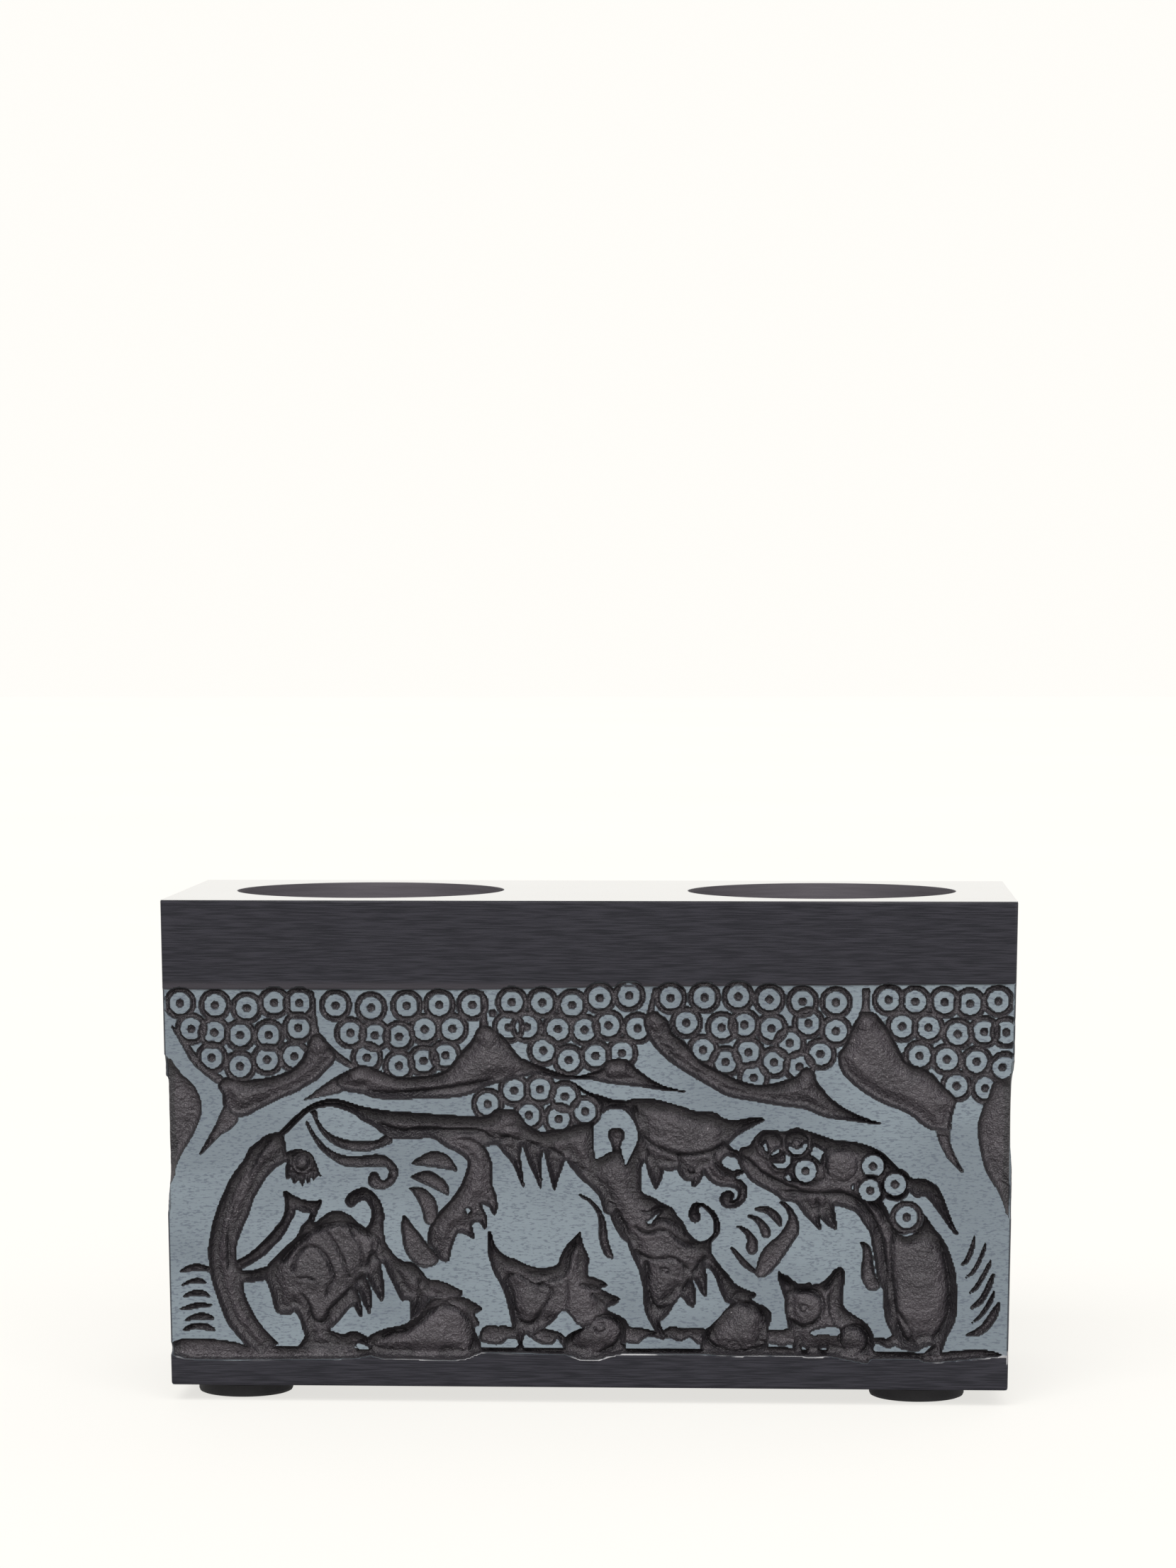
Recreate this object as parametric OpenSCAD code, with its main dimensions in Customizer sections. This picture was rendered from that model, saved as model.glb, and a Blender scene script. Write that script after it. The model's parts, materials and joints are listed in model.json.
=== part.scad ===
// Two-well brush holder: one carved soapstone block on four stick-on pads.
// Frame: X along the block, Y from front (-) to back (+), Z up.
// The origin is under the middle of the block, on the surface it stands on.

/* [Block] */
// Width across the top
block_top_w = 152; // [140:1:180]
// Width across the bottom, a little narrower than the top
block_bottom_w = 148.6; // [136:0.1:176]
// Depth from front face to back face
block_d = 64; // [60:1:80]
// Height of the stone alone
block_h = 86.5; // [80:0.5:110]

/* [Wells] */
// Diameter of each round well for the brushes
well_d = 49; // [30:0.5:52]
// Distance between the two well centres
well_spacing = 83; // [70:1:90]
// Depth of each well below the top face
well_depth = 72; // [40:1:78]

/* [Feet] */
// Diameter of a foot pad
foot_d = 17; // [10:0.5:20]
// Thickness of a foot pad without its adhesive
foot_pad_h = 2.7; // [1.5:0.1:5]
// Thickness of the adhesive disc above a foot pad
foot_adhesive_h = 0.3; // [0.1:0.1:0.5]
// Left feet, distance from the middle
foot_left_x = 62.5; // [50:0.5:64]
// Right feet, distance from the middle
foot_right_x = 58.5; // [50:0.5:64]
// Feet, distance in front of and behind the middle
foot_y = 19; // [12:0.5:22]

/* [Carving] */
// Depth of the carved recesses
carve_depth = 1.2; // [0.4:0.1:2]
// Depth of the ring-shaped leaf grooves
ring_depth = 0.6; // [0.2:0.1:1]
// Outer radius of a leaf ring
ring_outer_r = 2.3; // [2:0.05:2.35]
// Width of a leaf ring's groove
ring_groove_w = 0.6; // [0.3:0.1:1]
// Height of the top row of leaves above the stone's underside
leaf_top_z = 68.4; // [66:0.1:69]

/* [Hidden] */
$fn = 96;

foot_h = foot_pad_h + foot_adhesive_h;
side_lean = atan((block_top_w - block_bottom_w) / 2 / block_h);
over = 1;                               // how far a cutter stands out of a face
ring_fn = 32;

// Leaf clusters on a long and a short face: the canopy's middle along the
// face, then how many leaves are in its top, middle and bottom rows.
long_canopies = [
    [-61.5, [5, 5, 3]], [-32.4, [5, 5, 3]], [-3, [5, 5, 1]], [29.3, [5, 5, 2]], [61.6, [5, 3, 1]]
];
short_canopies = [[-16, [5, 5, 3]], [16, [5, 5, 3]]];
// Spacing of the leaves in each row, and the row's drop below the top row.
leaf_pitch = [5.4, 4.9, 4.9];
leaf_drop = [0, 4.9, 9.8];

// Carved outlines, as [along the face, above the stone's underside].
branch_far_left = [
    [-65, 54], [-56.5, 55], [-51, 58], [-49, 62.5], [-46.5, 62], [-44.8, 58], [-50, 53.5],
    [-57, 50], [-62, 48], [-69, 41.5], [-65, 49]
];
branch_left = [
    [-50, 51], [-44, 55], [-41, 57], [-36, 55.5], [-28, 55.5], [-24, 57.5], [-19.5, 63.5],
    [-17, 64], [-12, 58.5], [-3, 55.4], [3, 58], [8, 57.5], [12, 54.4], [18, 52.6], [9, 53.5],
    [0, 55], [-12, 55], [-22, 51.8], [-36, 51.1], [-43, 52.6]
];
branch_right = [
    [11, 66.5], [14, 65.5], [15.5, 62.6], [20, 58], [29, 54], [34, 54.4], [39, 57], [41, 54],
    [45, 50], [52, 47.3], [42, 48.3], [32, 50.5], [24, 52.2], [14, 58.5], [10.3, 63.5]
];
branch_far_right = [
    [48.3, 67], [52, 65], [55, 60.7], [58, 57.2], [62.5, 54.3], [65.2, 51], [64, 46], [66.2, 38.8],
    [62.5, 43], [61, 46.2], [57, 48.7], [50, 52], [45, 56.5], [45, 60.5], [47, 65]
];
first_back_line = [
    [-57.5, 43], [-50.5, 49.3], [-45, 51.1], [-36, 49.1], [-20, 48.1], [-15, 49.4], [-11, 47],
    [-8, 45.4], [0.8, 46.9], [1.1, 41.5], [2.8, 32.5], [7.5, 24.5], [10, 17], [11.9, 10.3],
    [10, 10.3], [8.5, 20], [4, 27], [0.5, 34], [-5.3, 36], [-8.4, 35.4], [-11.4, 35.8],
    [-15, 41.7], [-26, 43.6], [-33, 44], [-41, 48.4], [-46, 49.8], [-51, 47.6]
];
first_ear = [
    [-26, 43.4], [-21.4, 40], [-23, 35], [-28.3, 27], [-25.6, 22.4], [-23.2, 27], [-18.3, 28.2],
    [-16.4, 31.5], [-17, 40], [-20, 44]
];
first_trunk = [
    [-55, 45], [-59.5, 42.8], [-63.5, 37], [-66.5, 30], [-67.6, 23.5], [-66, 15.8], [-62, 8.2],
    [-58.6, 5.6], [-55.4, 7.4], [-59.5, 12.5], [-61.7, 18.2], [-62.6, 24], [-60.5, 30.5],
    [-57.5, 36.8], [-53.8, 40]
];
first_tusk = [
    [-62.6, 21.5], [-57, 26.5], [-54, 30.8], [-54, 34.7], [-51.5, 33.4], [-47.5, 33], [-49, 29.2],
    [-52, 31.4], [-56.2, 24.4], [-61.5, 20.6]
];
first_calf = [
    [-51.5, 27], [-48.5, 30.5], [-44.5, 31.2], [-40, 28.4], [-36.3, 29], [-36, 25.5], [-30, 21],
    [-31.5, 15], [-36.9, 21.5], [-41, 17], [-46, 9.9], [-50.4, 9], [-52.3, 13.2], [-56, 14.5],
    [-57.2, 20.5]
];
first_hare = [
    [-39.2, 7.6], [-34, 10.6], [-28, 15.3], [-22, 15.8], [-19, 13.8], [-20, 10.5], [-19.2, 7],
    [-21.5, 5.6], [-37, 5.6]
];
fox = [
    [-17.6, 27.6], [-15.3, 23.8], [-9, 21.2], [-5.2, 22], [-1.3, 27.6], [0, 20], [5.6, 15.5],
    [7, 11.5], [6, 6.5], [-3.5, 6.5], [-4, 9.5], [-0.8, 10.6], [-4, 13.7], [-9.5, 9],
    [-13.4, 10.6], [-14.9, 17], [-17.6, 23]
];
second_neck = [
    [-2.7, 54.4], [3, 51.7], [11, 51.4], [20, 49.1], [25, 47.7], [31, 48], [26, 45], [25.5, 42.8],
    [27.8, 38.5], [21, 37.2], [16.5, 38], [13.5, 38.8], [11.2, 37], [10, 40.3], [8.8, 47]
];
second_trunk = [
    [16, 36], [21, 33], [25, 29], [28, 26], [33, 24.5], [38, 21.5], [40, 18], [36, 20],
    [30, 21], [24, 24], [19, 29]
];
second_back_line = [
    [28, 46.5], [38, 45.5], [44, 43.5], [50, 41.5], [55, 38], [58.5, 33], [60.5, 27], [61.5, 20],
    [61, 12], [59.5, 6.5], [58, 12], [58.5, 20], [56.5, 28], [51, 35], [43, 38.5], [34, 41]
];
second_calf = [
    [30, 22], [34, 25.5], [40, 26.5], [45, 24.5], [48, 20.5], [48.5, 13], [47, 6.5], [43.5, 6.5],
    [42.5, 11], [38, 12.5], [34, 11], [33, 6.5], [29, 6.5], [27.5, 12], [24.5, 15], [26, 19.5]
];
long_face_outlines = [
    branch_far_left, branch_left, branch_right, branch_far_right, first_back_line, first_ear,
    first_trunk, first_tusk, first_calf, first_hare, fox, second_neck, second_trunk,
    second_back_line, second_calf
];

short_branch = [
    [-26, 52], [-18, 54.5], [-9, 55], [-3.5, 57.5], [-1.2, 64.5], [1.2, 64.5], [3.5, 57.5],
    [9, 55], [18, 54.5], [26, 52], [17, 50.5], [8, 50.5], [3, 47], [2.6, 36], [4, 24], [8, 8],
    [10, 5.8], [-10, 5.8], [-8, 8], [-4, 24], [-2.6, 36], [-3, 47], [-8, 50.5], [-17, 50.5]
];
short_left_animal = [
    [-24, 20], [-21.5, 24.5], [-16, 26], [-11, 24.5], [-8.5, 20], [-9.5, 12], [-11, 5.8],
    [-14, 5.8], [-14.8, 11], [-19, 11], [-20, 5.8], [-23, 5.8]
];
short_right_animal = [for (p = short_left_animal) [-p[0], p[1]]];
short_face_outlines = [short_branch, short_left_animal, short_right_animal];

// Puts a cutter on a face: turn about Z, the face's distance at the
// underside, its lean, and how deep the cutter goes.
module on_face(turn, distance, lean, depth) {
    rotate([0, 0, turn])
        translate([0, -distance, foot_h])
            rotate([90 + lean, 0, 0])
                translate([0, 0, -depth])
                    children();
}

module carved_outlines(outlines) {
    for (outline = outlines)
        linear_extrude(carve_depth + over)
            polygon(outline);
}

module leaf_ring() {
    difference() {
        cylinder(h = ring_depth + over, r = ring_outer_r, $fn = ring_fn);
        translate([0, 0, -over])
            cylinder(h = ring_depth + 3 * over, r = ring_outer_r - ring_groove_w, $fn = ring_fn);
    }
}

module canopy(row_counts) {
    for (row = [0 : len(row_counts) - 1])
        for (i = [0 : row_counts[row] - 1])
            translate([(i - (row_counts[row] - 1) / 2) * leaf_pitch[row], leaf_top_z - leaf_drop[row], 0])
                leaf_ring();
}

module carve_face(turn, distance, lean, outlines, canopies) {
    on_face(turn, distance, lean, carve_depth)
        carved_outlines(outlines);
    on_face(turn, distance, lean, ring_depth)
        for (c = canopies)
            translate([c[0], 0, 0])
                canopy(c[1]);
}

module plain_block() {
    translate([0, block_d / 2, foot_h])
        rotate([90, 0, 0])
            linear_extrude(block_d)
                polygon([
                    [-block_bottom_w / 2, 0], [block_bottom_w / 2, 0],
                    [block_top_w / 2, block_h], [-block_top_w / 2, block_h]
                ]);
}

module well(side) {
    translate([side * well_spacing / 2, 0, foot_h + block_h - well_depth])
        cylinder(h = well_depth + over, d = well_d);
}

module stone_block() {
    color([0.62, 0.66, 0.66])
        difference() {
            plain_block();
            for (side = [-1, 1])
                well(side);
            for (turn = [0, 180])
                carve_face(turn, block_d / 2, 0, long_face_outlines, long_canopies);
            for (turn = [90, 270])
                carve_face(turn, block_bottom_w / 2, side_lean, short_face_outlines, short_canopies);
        }
}

module foot_pad(x, y) {
    color([0.05, 0.05, 0.055])
        translate([x, y, 0])
            cylinder(h = foot_pad_h, d = foot_d);
}

module foot_adhesive(x, y) {
    color([0.75, 0.74, 0.7])
        translate([x, y, foot_pad_h])
            cylinder(h = foot_adhesive_h, d = foot_d);
}

module foot_pad_front_left() { foot_pad(-foot_left_x, -foot_y); }
module foot_pad_front_right() { foot_pad(foot_right_x, -foot_y); }
module foot_pad_rear_left() { foot_pad(-foot_left_x, foot_y); }
module foot_pad_rear_right() { foot_pad(foot_right_x, foot_y); }
module foot_adhesive_front_left() { foot_adhesive(-foot_left_x, -foot_y); }
module foot_adhesive_front_right() { foot_adhesive(foot_right_x, -foot_y); }
module foot_adhesive_rear_left() { foot_adhesive(-foot_left_x, foot_y); }
module foot_adhesive_rear_right() { foot_adhesive(foot_right_x, foot_y); }

stone_block();
foot_pad_front_left();
foot_pad_front_right();
foot_pad_rear_left();
foot_pad_rear_right();
foot_adhesive_front_left();
foot_adhesive_front_right();
foot_adhesive_rear_left();
foot_adhesive_rear_right();
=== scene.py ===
# Looks of the two-well carved soapstone brush holder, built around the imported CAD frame.
import json
import math

import bmesh
import bpy
import numpy as np
from mathutils import Matrix, Vector


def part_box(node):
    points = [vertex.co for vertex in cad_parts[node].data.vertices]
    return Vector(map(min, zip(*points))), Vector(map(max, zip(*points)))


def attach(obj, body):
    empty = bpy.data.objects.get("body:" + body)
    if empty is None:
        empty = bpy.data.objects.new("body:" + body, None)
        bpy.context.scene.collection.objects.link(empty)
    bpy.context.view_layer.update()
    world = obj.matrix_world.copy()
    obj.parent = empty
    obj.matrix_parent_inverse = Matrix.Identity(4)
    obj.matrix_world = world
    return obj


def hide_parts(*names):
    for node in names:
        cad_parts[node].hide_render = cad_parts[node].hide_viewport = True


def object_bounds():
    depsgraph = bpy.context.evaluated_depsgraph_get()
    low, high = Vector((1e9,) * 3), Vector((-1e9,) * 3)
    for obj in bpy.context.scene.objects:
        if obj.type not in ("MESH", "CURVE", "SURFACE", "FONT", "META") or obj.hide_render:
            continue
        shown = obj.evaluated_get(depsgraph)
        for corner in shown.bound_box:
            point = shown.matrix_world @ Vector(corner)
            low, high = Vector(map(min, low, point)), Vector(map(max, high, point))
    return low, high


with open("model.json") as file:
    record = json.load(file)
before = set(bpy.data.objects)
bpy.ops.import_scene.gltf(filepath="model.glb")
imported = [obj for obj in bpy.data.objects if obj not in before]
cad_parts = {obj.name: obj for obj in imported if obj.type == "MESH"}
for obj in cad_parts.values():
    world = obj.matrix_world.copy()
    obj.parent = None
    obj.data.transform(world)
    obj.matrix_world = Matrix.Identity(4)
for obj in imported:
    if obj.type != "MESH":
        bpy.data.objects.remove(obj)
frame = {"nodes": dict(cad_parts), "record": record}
cad_low, cad_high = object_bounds()

MM = 0.001
STONE_LOW, STONE_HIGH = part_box("stone_block")
BOTTOM_Z = STONE_LOW.z / MM                      # the stone's underside, mm
HEIGHT = (STONE_HIGH.z - STONE_LOW.z) / MM
HALF_TOP = STONE_HIGH.x / MM                     # half the width across the top
HALF_DEPTH = STONE_HIGH.y / MM
UNDERSIDE = [v.co.x for v in frame["nodes"]["stone_block"].data.vertices if v.co.z < STONE_LOW.z + 0.0002]
SIDE_TAPER = HALF_TOP - max(UNDERSIDE) / MM      # each side leans in by this much at the bottom
WELLS = {m["name"]: m for m in frame["record"]["mounts"] if m["kind"] == "bore"}

STEP = 0.25               # grid spacing of the carved faces, mm
TRIANGLES = 195_000                              # size of the finished stone mesh
BAND_TOP_LINE = [(-76, 70.5), (-20, 70.6), (4, 71.2), (76, 71.9)]    # the top band's lower edge
PANEL_SINK = 0.3                                 # how far the panels lie below the bands
EDGE_ROUND = 0.45                                # wear on the vertical edges
RIM_WEAR = 0.35                                  # wear on the top edge
FOOT_WEAR = 0.5                                  # wear on the bottom edge
ROUND_SHARE = 0.29                               # how much of its radius a rounded edge loses
SHARP_ANGLE = 34                                 # shading breaks at edges steeper than this, degrees
FRONT_SEED, SIDE_SEED, WEAR_SEED = 11, 31, 77
CURVE_PARTS = 3                                  # straight pieces between two points of an outline
NO_LIMIT = 9                                     # deeper than any carving, mm
ISLAND_FOOT = 3                                  # depth that the slope round an island runs down to, mm
ISLAND_WALL = 0.5                                # width of that slope, mm
CORNER_REACH = 8                                 # grid columns are drawn in this near a corner, mm
WEAR_PATCH = 14                                  # size of the more and less worn stretches, mm
FLOOR_SIZE = 16                                  # side of the floor, m
WELL_SIDES = 160
PAD_SIDES = 72
WALL_SLOT, TOP_SLOT, WELL_SLOT, UNDER_SLOT = range(4)    # the stone's materials
WARM_WHITE = (1.0, 0.985, 0.945, 1)              # the photo's surroundings
# Soft suns: strength, angular size in degrees, then the turn about x, y and z. The last one lights the back.
SUNS = [(1.9, 35, (40, -16, 0)), (1.4, 45, (44, 24, 0)), (0.7, 60, (-50, 10, 0))]
# The camera fitted to the photo: where it stands, in mm from the stone's middle and underside, and its
# turns to the side, down and about its own axis, in radians.
CAMERA_PLACE = (39.145, -819.863, 134.857)
CAMERA_TURNS = (-0.04942, 0.03507, -0.001)

# ---------------------------------------------------------------------------
# Carving, drawn as (along the face, above the stone's underside) in mm. The points were chosen one by one.
# ---------------------------------------------------------------------------

# Leaf rings of the long faces: each canopy is rows of ring centres.
LONG_RINGS = [
    (-72.6, 68.1), (-66.25, 67.8), (-60.6, 67.3), (-55.7, 68.25), (-51.2, 68.2),
    (-70.6, 63.55), (-66.4, 62.9), (-61.8, 62.45), (-56.7, 62.5), (-51.4, 63.8),
    (-66.9, 58.4), (-61.8, 56.9), (-57, 58.1), (-52.15, 58.7),
    (-44.75, 67.8), (-38.45, 67.4), (-32.1, 67.8), (-26.3, 67.95), (-20.4, 67.95),
    (-42.1, 62.9), (-37.75, 62.5), (-33.45, 62.3), (-28.9, 63.6), (-23.95, 63.7),
    (-39.2, 58.55), (-33.45, 57.1), (-29.1, 58), (-25.2, 59),
    (-13.4, 68.45), (-8, 68.4), (-2.7, 68), (2.2, 69.25), (7.4, 69.7),
    (-14, 64), (-10.75, 64.1), (-5.25, 63.7), (-0.5, 63.6), (3.75, 64.4), (8.9, 63.9),
    (-7.8, 59.9), (-3.3, 58.2), (1.45, 59), (6.1, 59.5),
    (14.75, 69.3), (20.75, 69.4), (26.7, 69.6), (32.2, 69.1), (38.05, 68.75), (43.95, 68.6),
    (17.55, 64.9), (23.8, 64.1), (27.8, 64.6), (32.6, 63.95), (35.8, 61.4), (39.1, 64.9), (43.95, 63.55),
    (20.5, 60.1), (24.45, 58), (28.5, 59.7), (33.05, 57.95), (37.5, 57.2), (41.2, 59.45), (29.4, 55.2),
    (53.2, 69.1), (57.9, 68.8), (63.1, 68.7), (67.55, 68.45), (72.6, 68.9),
    (55.6, 64.4), (60.25, 64.2), (65.4, 63.1), (70.1, 63.5), (74.05, 63.4),
    (58.7, 59.2), (63.5, 58.6), (68.75, 58.2), (73.8, 57.2), (65.2, 53.9), (70.45, 53.55),
    (-17.7, 50.35), (-13, 52.8), (-8.4, 53), (-4, 51.75), (-10.4, 48.4), (-5.1, 47.75), (-0.4, 49.1),
    (56.45, 30.6),
]
# Rings that stand on the second elephant's dark back.
BACK_RINGS = [(38.6, 38.7), (50.5, 39.6), (50, 35.3), (54.4, 36.4)]
LONE_DIMPLES = [(-16.8, 66.5)]

# Dark branches and hollows under the canopies.
BRANCHES = [
    [
        (-65.3, 54.3), (-64, 54.9), (-61.5, 54.3), (-59, 54.6), (-56.5, 54.9), (-54, 55.7), (-52.3, 56.6),
        (-50.8, 58.2), (-50, 60), (-49.4, 62), (-48.6, 62.7), (-47.6, 62.8), (-46.6, 61.8), (-45.5, 60),
        (-44.7, 58.8), (-45.2, 57.6), (-46.5, 56.2), (-48.2, 54.5), (-50, 53.5), (-52, 52.3), (-54.5, 51.3),
        (-56.5, 50.3), (-58.5, 49.3), (-60.5, 48.2), (-62, 47.9), (-63.5, 48.2), (-64.5, 49.2),
        (-64.9, 50.5), (-65, 52), (-65.8, 53.2),
    ],
    [
        (-44.6, 55), (-42, 56.5), (-40.8, 57.1), (-39.2, 57), (-37, 56.2), (-34.5, 55.2), (-32.5, 55),
        (-28.5, 55.3), (-26.5, 55.8), (-25, 56.5), (-24, 57.5), (-22.5, 59.5), (-21, 61), (-20.2, 62.3),
        (-19.6, 63.5), (-18.8, 64.2), (-17.6, 64.2), (-16.6, 63.7), (-15.5, 62.8), (-14.2, 61.5),
        (-12.5, 59.2), (-11.5, 58.4), (-8.5, 57.2), (-5, 55.9), (-3, 55.4), (-1, 55.5), (1.5, 56.3),
        (2.8, 57), (3.3, 58), (4.5, 58.4), (6, 58.5), (7.5, 58), (8.6, 56.8), (10, 55.7), (12, 54.4),
        (14, 53.5), (17.9, 52.6), (15.5, 52.8), (13, 53), (9, 53.6), (4, 54.1), (0, 54.9), (-5, 54.9),
        (-9.5, 55.6), (-12, 55), (-17, 53.9), (-20, 52.4), (-23, 51.6), (-27, 51.4), (-33, 51.2),
        (-37.5, 51.3), (-40, 52.1), (-43.2, 52.6), (-44.8, 53.4),
    ],
    [
        (11.3, 66.9), (12.2, 66.9), (13.2, 66.2), (14.2, 65.3), (14.7, 64), (15.3, 62.8), (17.5, 61.2),
        (19.5, 58.6), (22.5, 56.8), (25.5, 55.3), (28.5, 54.2), (31.5, 53.9), (35, 54.8), (37, 55.5),
        (37.7, 56.5), (38.5, 57), (39.5, 56.9), (40.2, 56.1), (40.4, 55), (41.2, 53.7), (43.3, 51.4),
        (46, 49.5), (50, 47.8), (52, 47.3), (50, 47.2), (47, 47.6), (42, 48.3), (38.5, 49.7), (34, 50.3),
        (30, 51), (25, 51.9), (22, 53.5), (18, 55.8), (14, 58.5), (11.3, 61.5), (10.1, 64.5), (10.2, 66),
    ],
    [
        (48.3, 67), (50, 67), (51, 66.5), (53, 64.2), (54.3, 61.8), (55.8, 59), (56.8, 57.8), (60, 56.7),
        (62.5, 54.3), (64.5, 52.3), (65.4, 51.3), (65.1, 50.75), (64.4, 48.5), (64.1, 46.6), (63.7, 45.9),
        (61.6, 46), (59.75, 46.6), (56.5, 49.1), (52, 50.9), (48.2, 53.2), (45.2, 56), (44.3, 59),
        (45.5, 61), (46.5, 63.5), (47.3, 65.2), (48, 66.2),
    ],
]
THORNS = [
    [
        (-64.4, 50), (-65.3, 48.6), (-66.2, 46.5), (-67.8, 43.7), (-69.4, 40.9), (-67.6, 42.4),
        (-65.3, 44.7), (-63.4, 45.8), (-62.2, 47.5), (-62.8, 49.4),
    ],
    [
        (-50.5, 50.9), (-49.5, 51.6), (-48, 52.8), (-46.5, 53.9), (-45, 54.9), (-43.6, 55.4), (-43, 54),
        (-43.6, 52.5), (-45.5, 51.9), (-48, 51.4),
    ],
    [
        (64.3, 47), (64, 45.2), (64.1, 43.75), (64.9, 41.75), (65.75, 40), (66.4, 38.9), (66.1, 38.55),
        (65, 39.75), (63.75, 41), (62.75, 42.75), (62, 44.5), (61.6, 46.6), (62.8, 47.6),
    ],
]
CANOPY_GROOVES = [
    [
        (-74.3, 64.2), (-73.4, 62.5), (-72.2, 60.5), (-70.8, 58), (-69.2, 56.3), (-67.2, 54.7),
        (-65.4, 53.6), (-65, 55), (-66.5, 55.9), (-68.4, 57.4), (-70, 59.4), (-72, 62.2),
    ],
    [(-49.4, 70), (-48.6, 70), (-48.2, 66), (-47.7, 62), (-49, 62), (-49.2, 66)],
    [(-47, 61.3), (-46.3, 61.3), (-44.2, 59.3), (-41.9, 57.6), (-42, 56.6), (-45, 58.4)],
    [(-19, 70), (-18.3, 70), (-18, 66.5), (-17.6, 63.6), (-19.2, 63.6), (-18.8, 66.5)],
    [(11.7, 71), (12.4, 71), (12, 69), (11.8, 66.4), (10.6, 66.4), (11.2, 69)],
    [(48.6, 71), (50, 71), (49.8, 69), (49.9, 66.6), (48.4, 66.6), (48.7, 69)],
]
# Dark areas round and inside the first elephant, on the left, and the animals below it.
FIRST_BACK = [
    (-56, 44.6), (-55, 45), (-53.5, 46.5), (-52, 48), (-50.5, 49.3), (-49, 50.2), (-47.5, 50.8), (-46, 51.1),
    (-44, 51), (-42, 50.4), (-40, 49.8), (-36, 49.1), (-32, 48.8), (-26, 48.4), (-20, 48.1), (-18.2, 48.2),
    (-17, 48.8), (-16, 49.6), (-15, 49.5), (-12.5, 49), (-11, 47), (-9.5, 46), (-8, 45.4), (-6.5, 45.7),
    (-4, 46), (-1.5, 46.9), (0.5, 46.9), (1.6, 47.2), (1.9, 44), (2.2, 41.2), (3, 38), (1, 36.6), (0, 36.3),
    (-1, 37), (-1.9, 38), (-3, 39.2), (-3.9, 40.5), (-4.5, 39), (-5.3, 36.8), (-5.9, 35), (-6.8, 38),
    (-7.3, 40.2), (-7.8, 42), (-8.3, 39.5), (-8.1, 37), (-8.4, 35.4), (-9.3, 37.5), (-10.3, 39.5),
    (-11, 41.5), (-11.6, 43), (-11.9, 41), (-11.7, 39), (-11.4, 36.8), (-11.3, 35.6), (-11.9, 36.5),
    (-12.5, 38), (-13.3, 39.8), (-14.8, 41.5), (-16.2, 43.2), (-18.3, 42.7), (-19.5, 43.2), (-21, 44),
    (-23.5, 43.6), (-25.5, 43.4), (-27.5, 44.2), (-29, 44.3), (-31, 44), (-34.5, 44.2), (-36.4, 45),
    (-38, 46.3), (-40, 47.3), (-41.5, 48.5), (-44.5, 49.6), (-46, 49.8), (-48, 49.5), (-49.6, 48.8),
    (-51, 47.6), (-52.5, 46), (-54, 44.7), (-55, 43.6),
]
FIRST_EAR = [
    (-26.4, 43.8), (-25, 42.6), (-23.8, 42.1), (-22.3, 41.2), (-21.3, 40.2), (-21.4, 38.8), (-22, 37),
    (-23, 35), (-24.5, 33), (-26.5, 30.8), (-28, 28.5), (-28.4, 26.5), (-28.3, 25.3), (-27.5, 24.5),
    (-26.6, 23), (-25.6, 22.3), (-24.7, 22.4), (-24.4, 23.8), (-24, 25.3), (-23.2, 27.2), (-22.5, 27.4),
    (-21.5, 27), (-20.2, 26.4), (-20.3, 27.5), (-20.6, 28.9), (-19.8, 29.3), (-19, 29.2), (-18.3, 28),
    (-17.9, 28.9), (-17.9, 30.2), (-18.7, 31.8), (-18.9, 32.6), (-18, 32.3), (-17.4, 31.9), (-16.7, 30.6),
    (-16.1, 31.5), (-16.1, 33), (-16.4, 34.5), (-17, 36.3), (-17, 39.5), (-17.4, 41), (-18.3, 42.8),
    (-19.5, 43.8), (-21, 44.4), (-23, 44.6), (-25, 44.4),
]
FIRST_TRUNK = [
    (-55, 45), (-56.5, 44.9), (-57.8, 44.2), (-59, 43.2), (-60.2, 42.2), (-61.2, 40.2), (-62.5, 38.5),
    (-63.7, 36.7), (-64.5, 35), (-65.5, 32.8), (-66.3, 30.5), (-66.9, 28.5), (-67.5, 25.2), (-67.6, 23.5),
    (-67.2, 19.5), (-66.1, 15.8), (-64.5, 11.5), (-63.3, 9.8), (-61.8, 8), (-59.6, 5.6), (-58.6, 5),
    (-57.7, 5.2), (-56.8, 6.2), (-55.4, 7.2), (-55.5, 7.8), (-57.25, 9.5), (-58.5, 11), (-59.5, 12.5),
    (-60.5, 14.5), (-61.25, 16.5), (-61.4, 18.3), (-60, 18.4), (-58.5, 18.6), (-57, 19), (-56, 20.5),
    (-57.3, 21.1), (-59.5, 20.5), (-61.6, 20.5), (-62.6, 22.3), (-62.6, 24), (-62.5, 25.4), (-61.3, 28.5),
    (-60.4, 30.5), (-59.5, 33.3), (-58.7, 34.7), (-57.8, 36.3), (-56.5, 38), (-55.5, 38.9), (-53.8, 40),
    (-53.6, 41.5), (-53.8, 43), (-54.2, 44.6),
]
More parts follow.
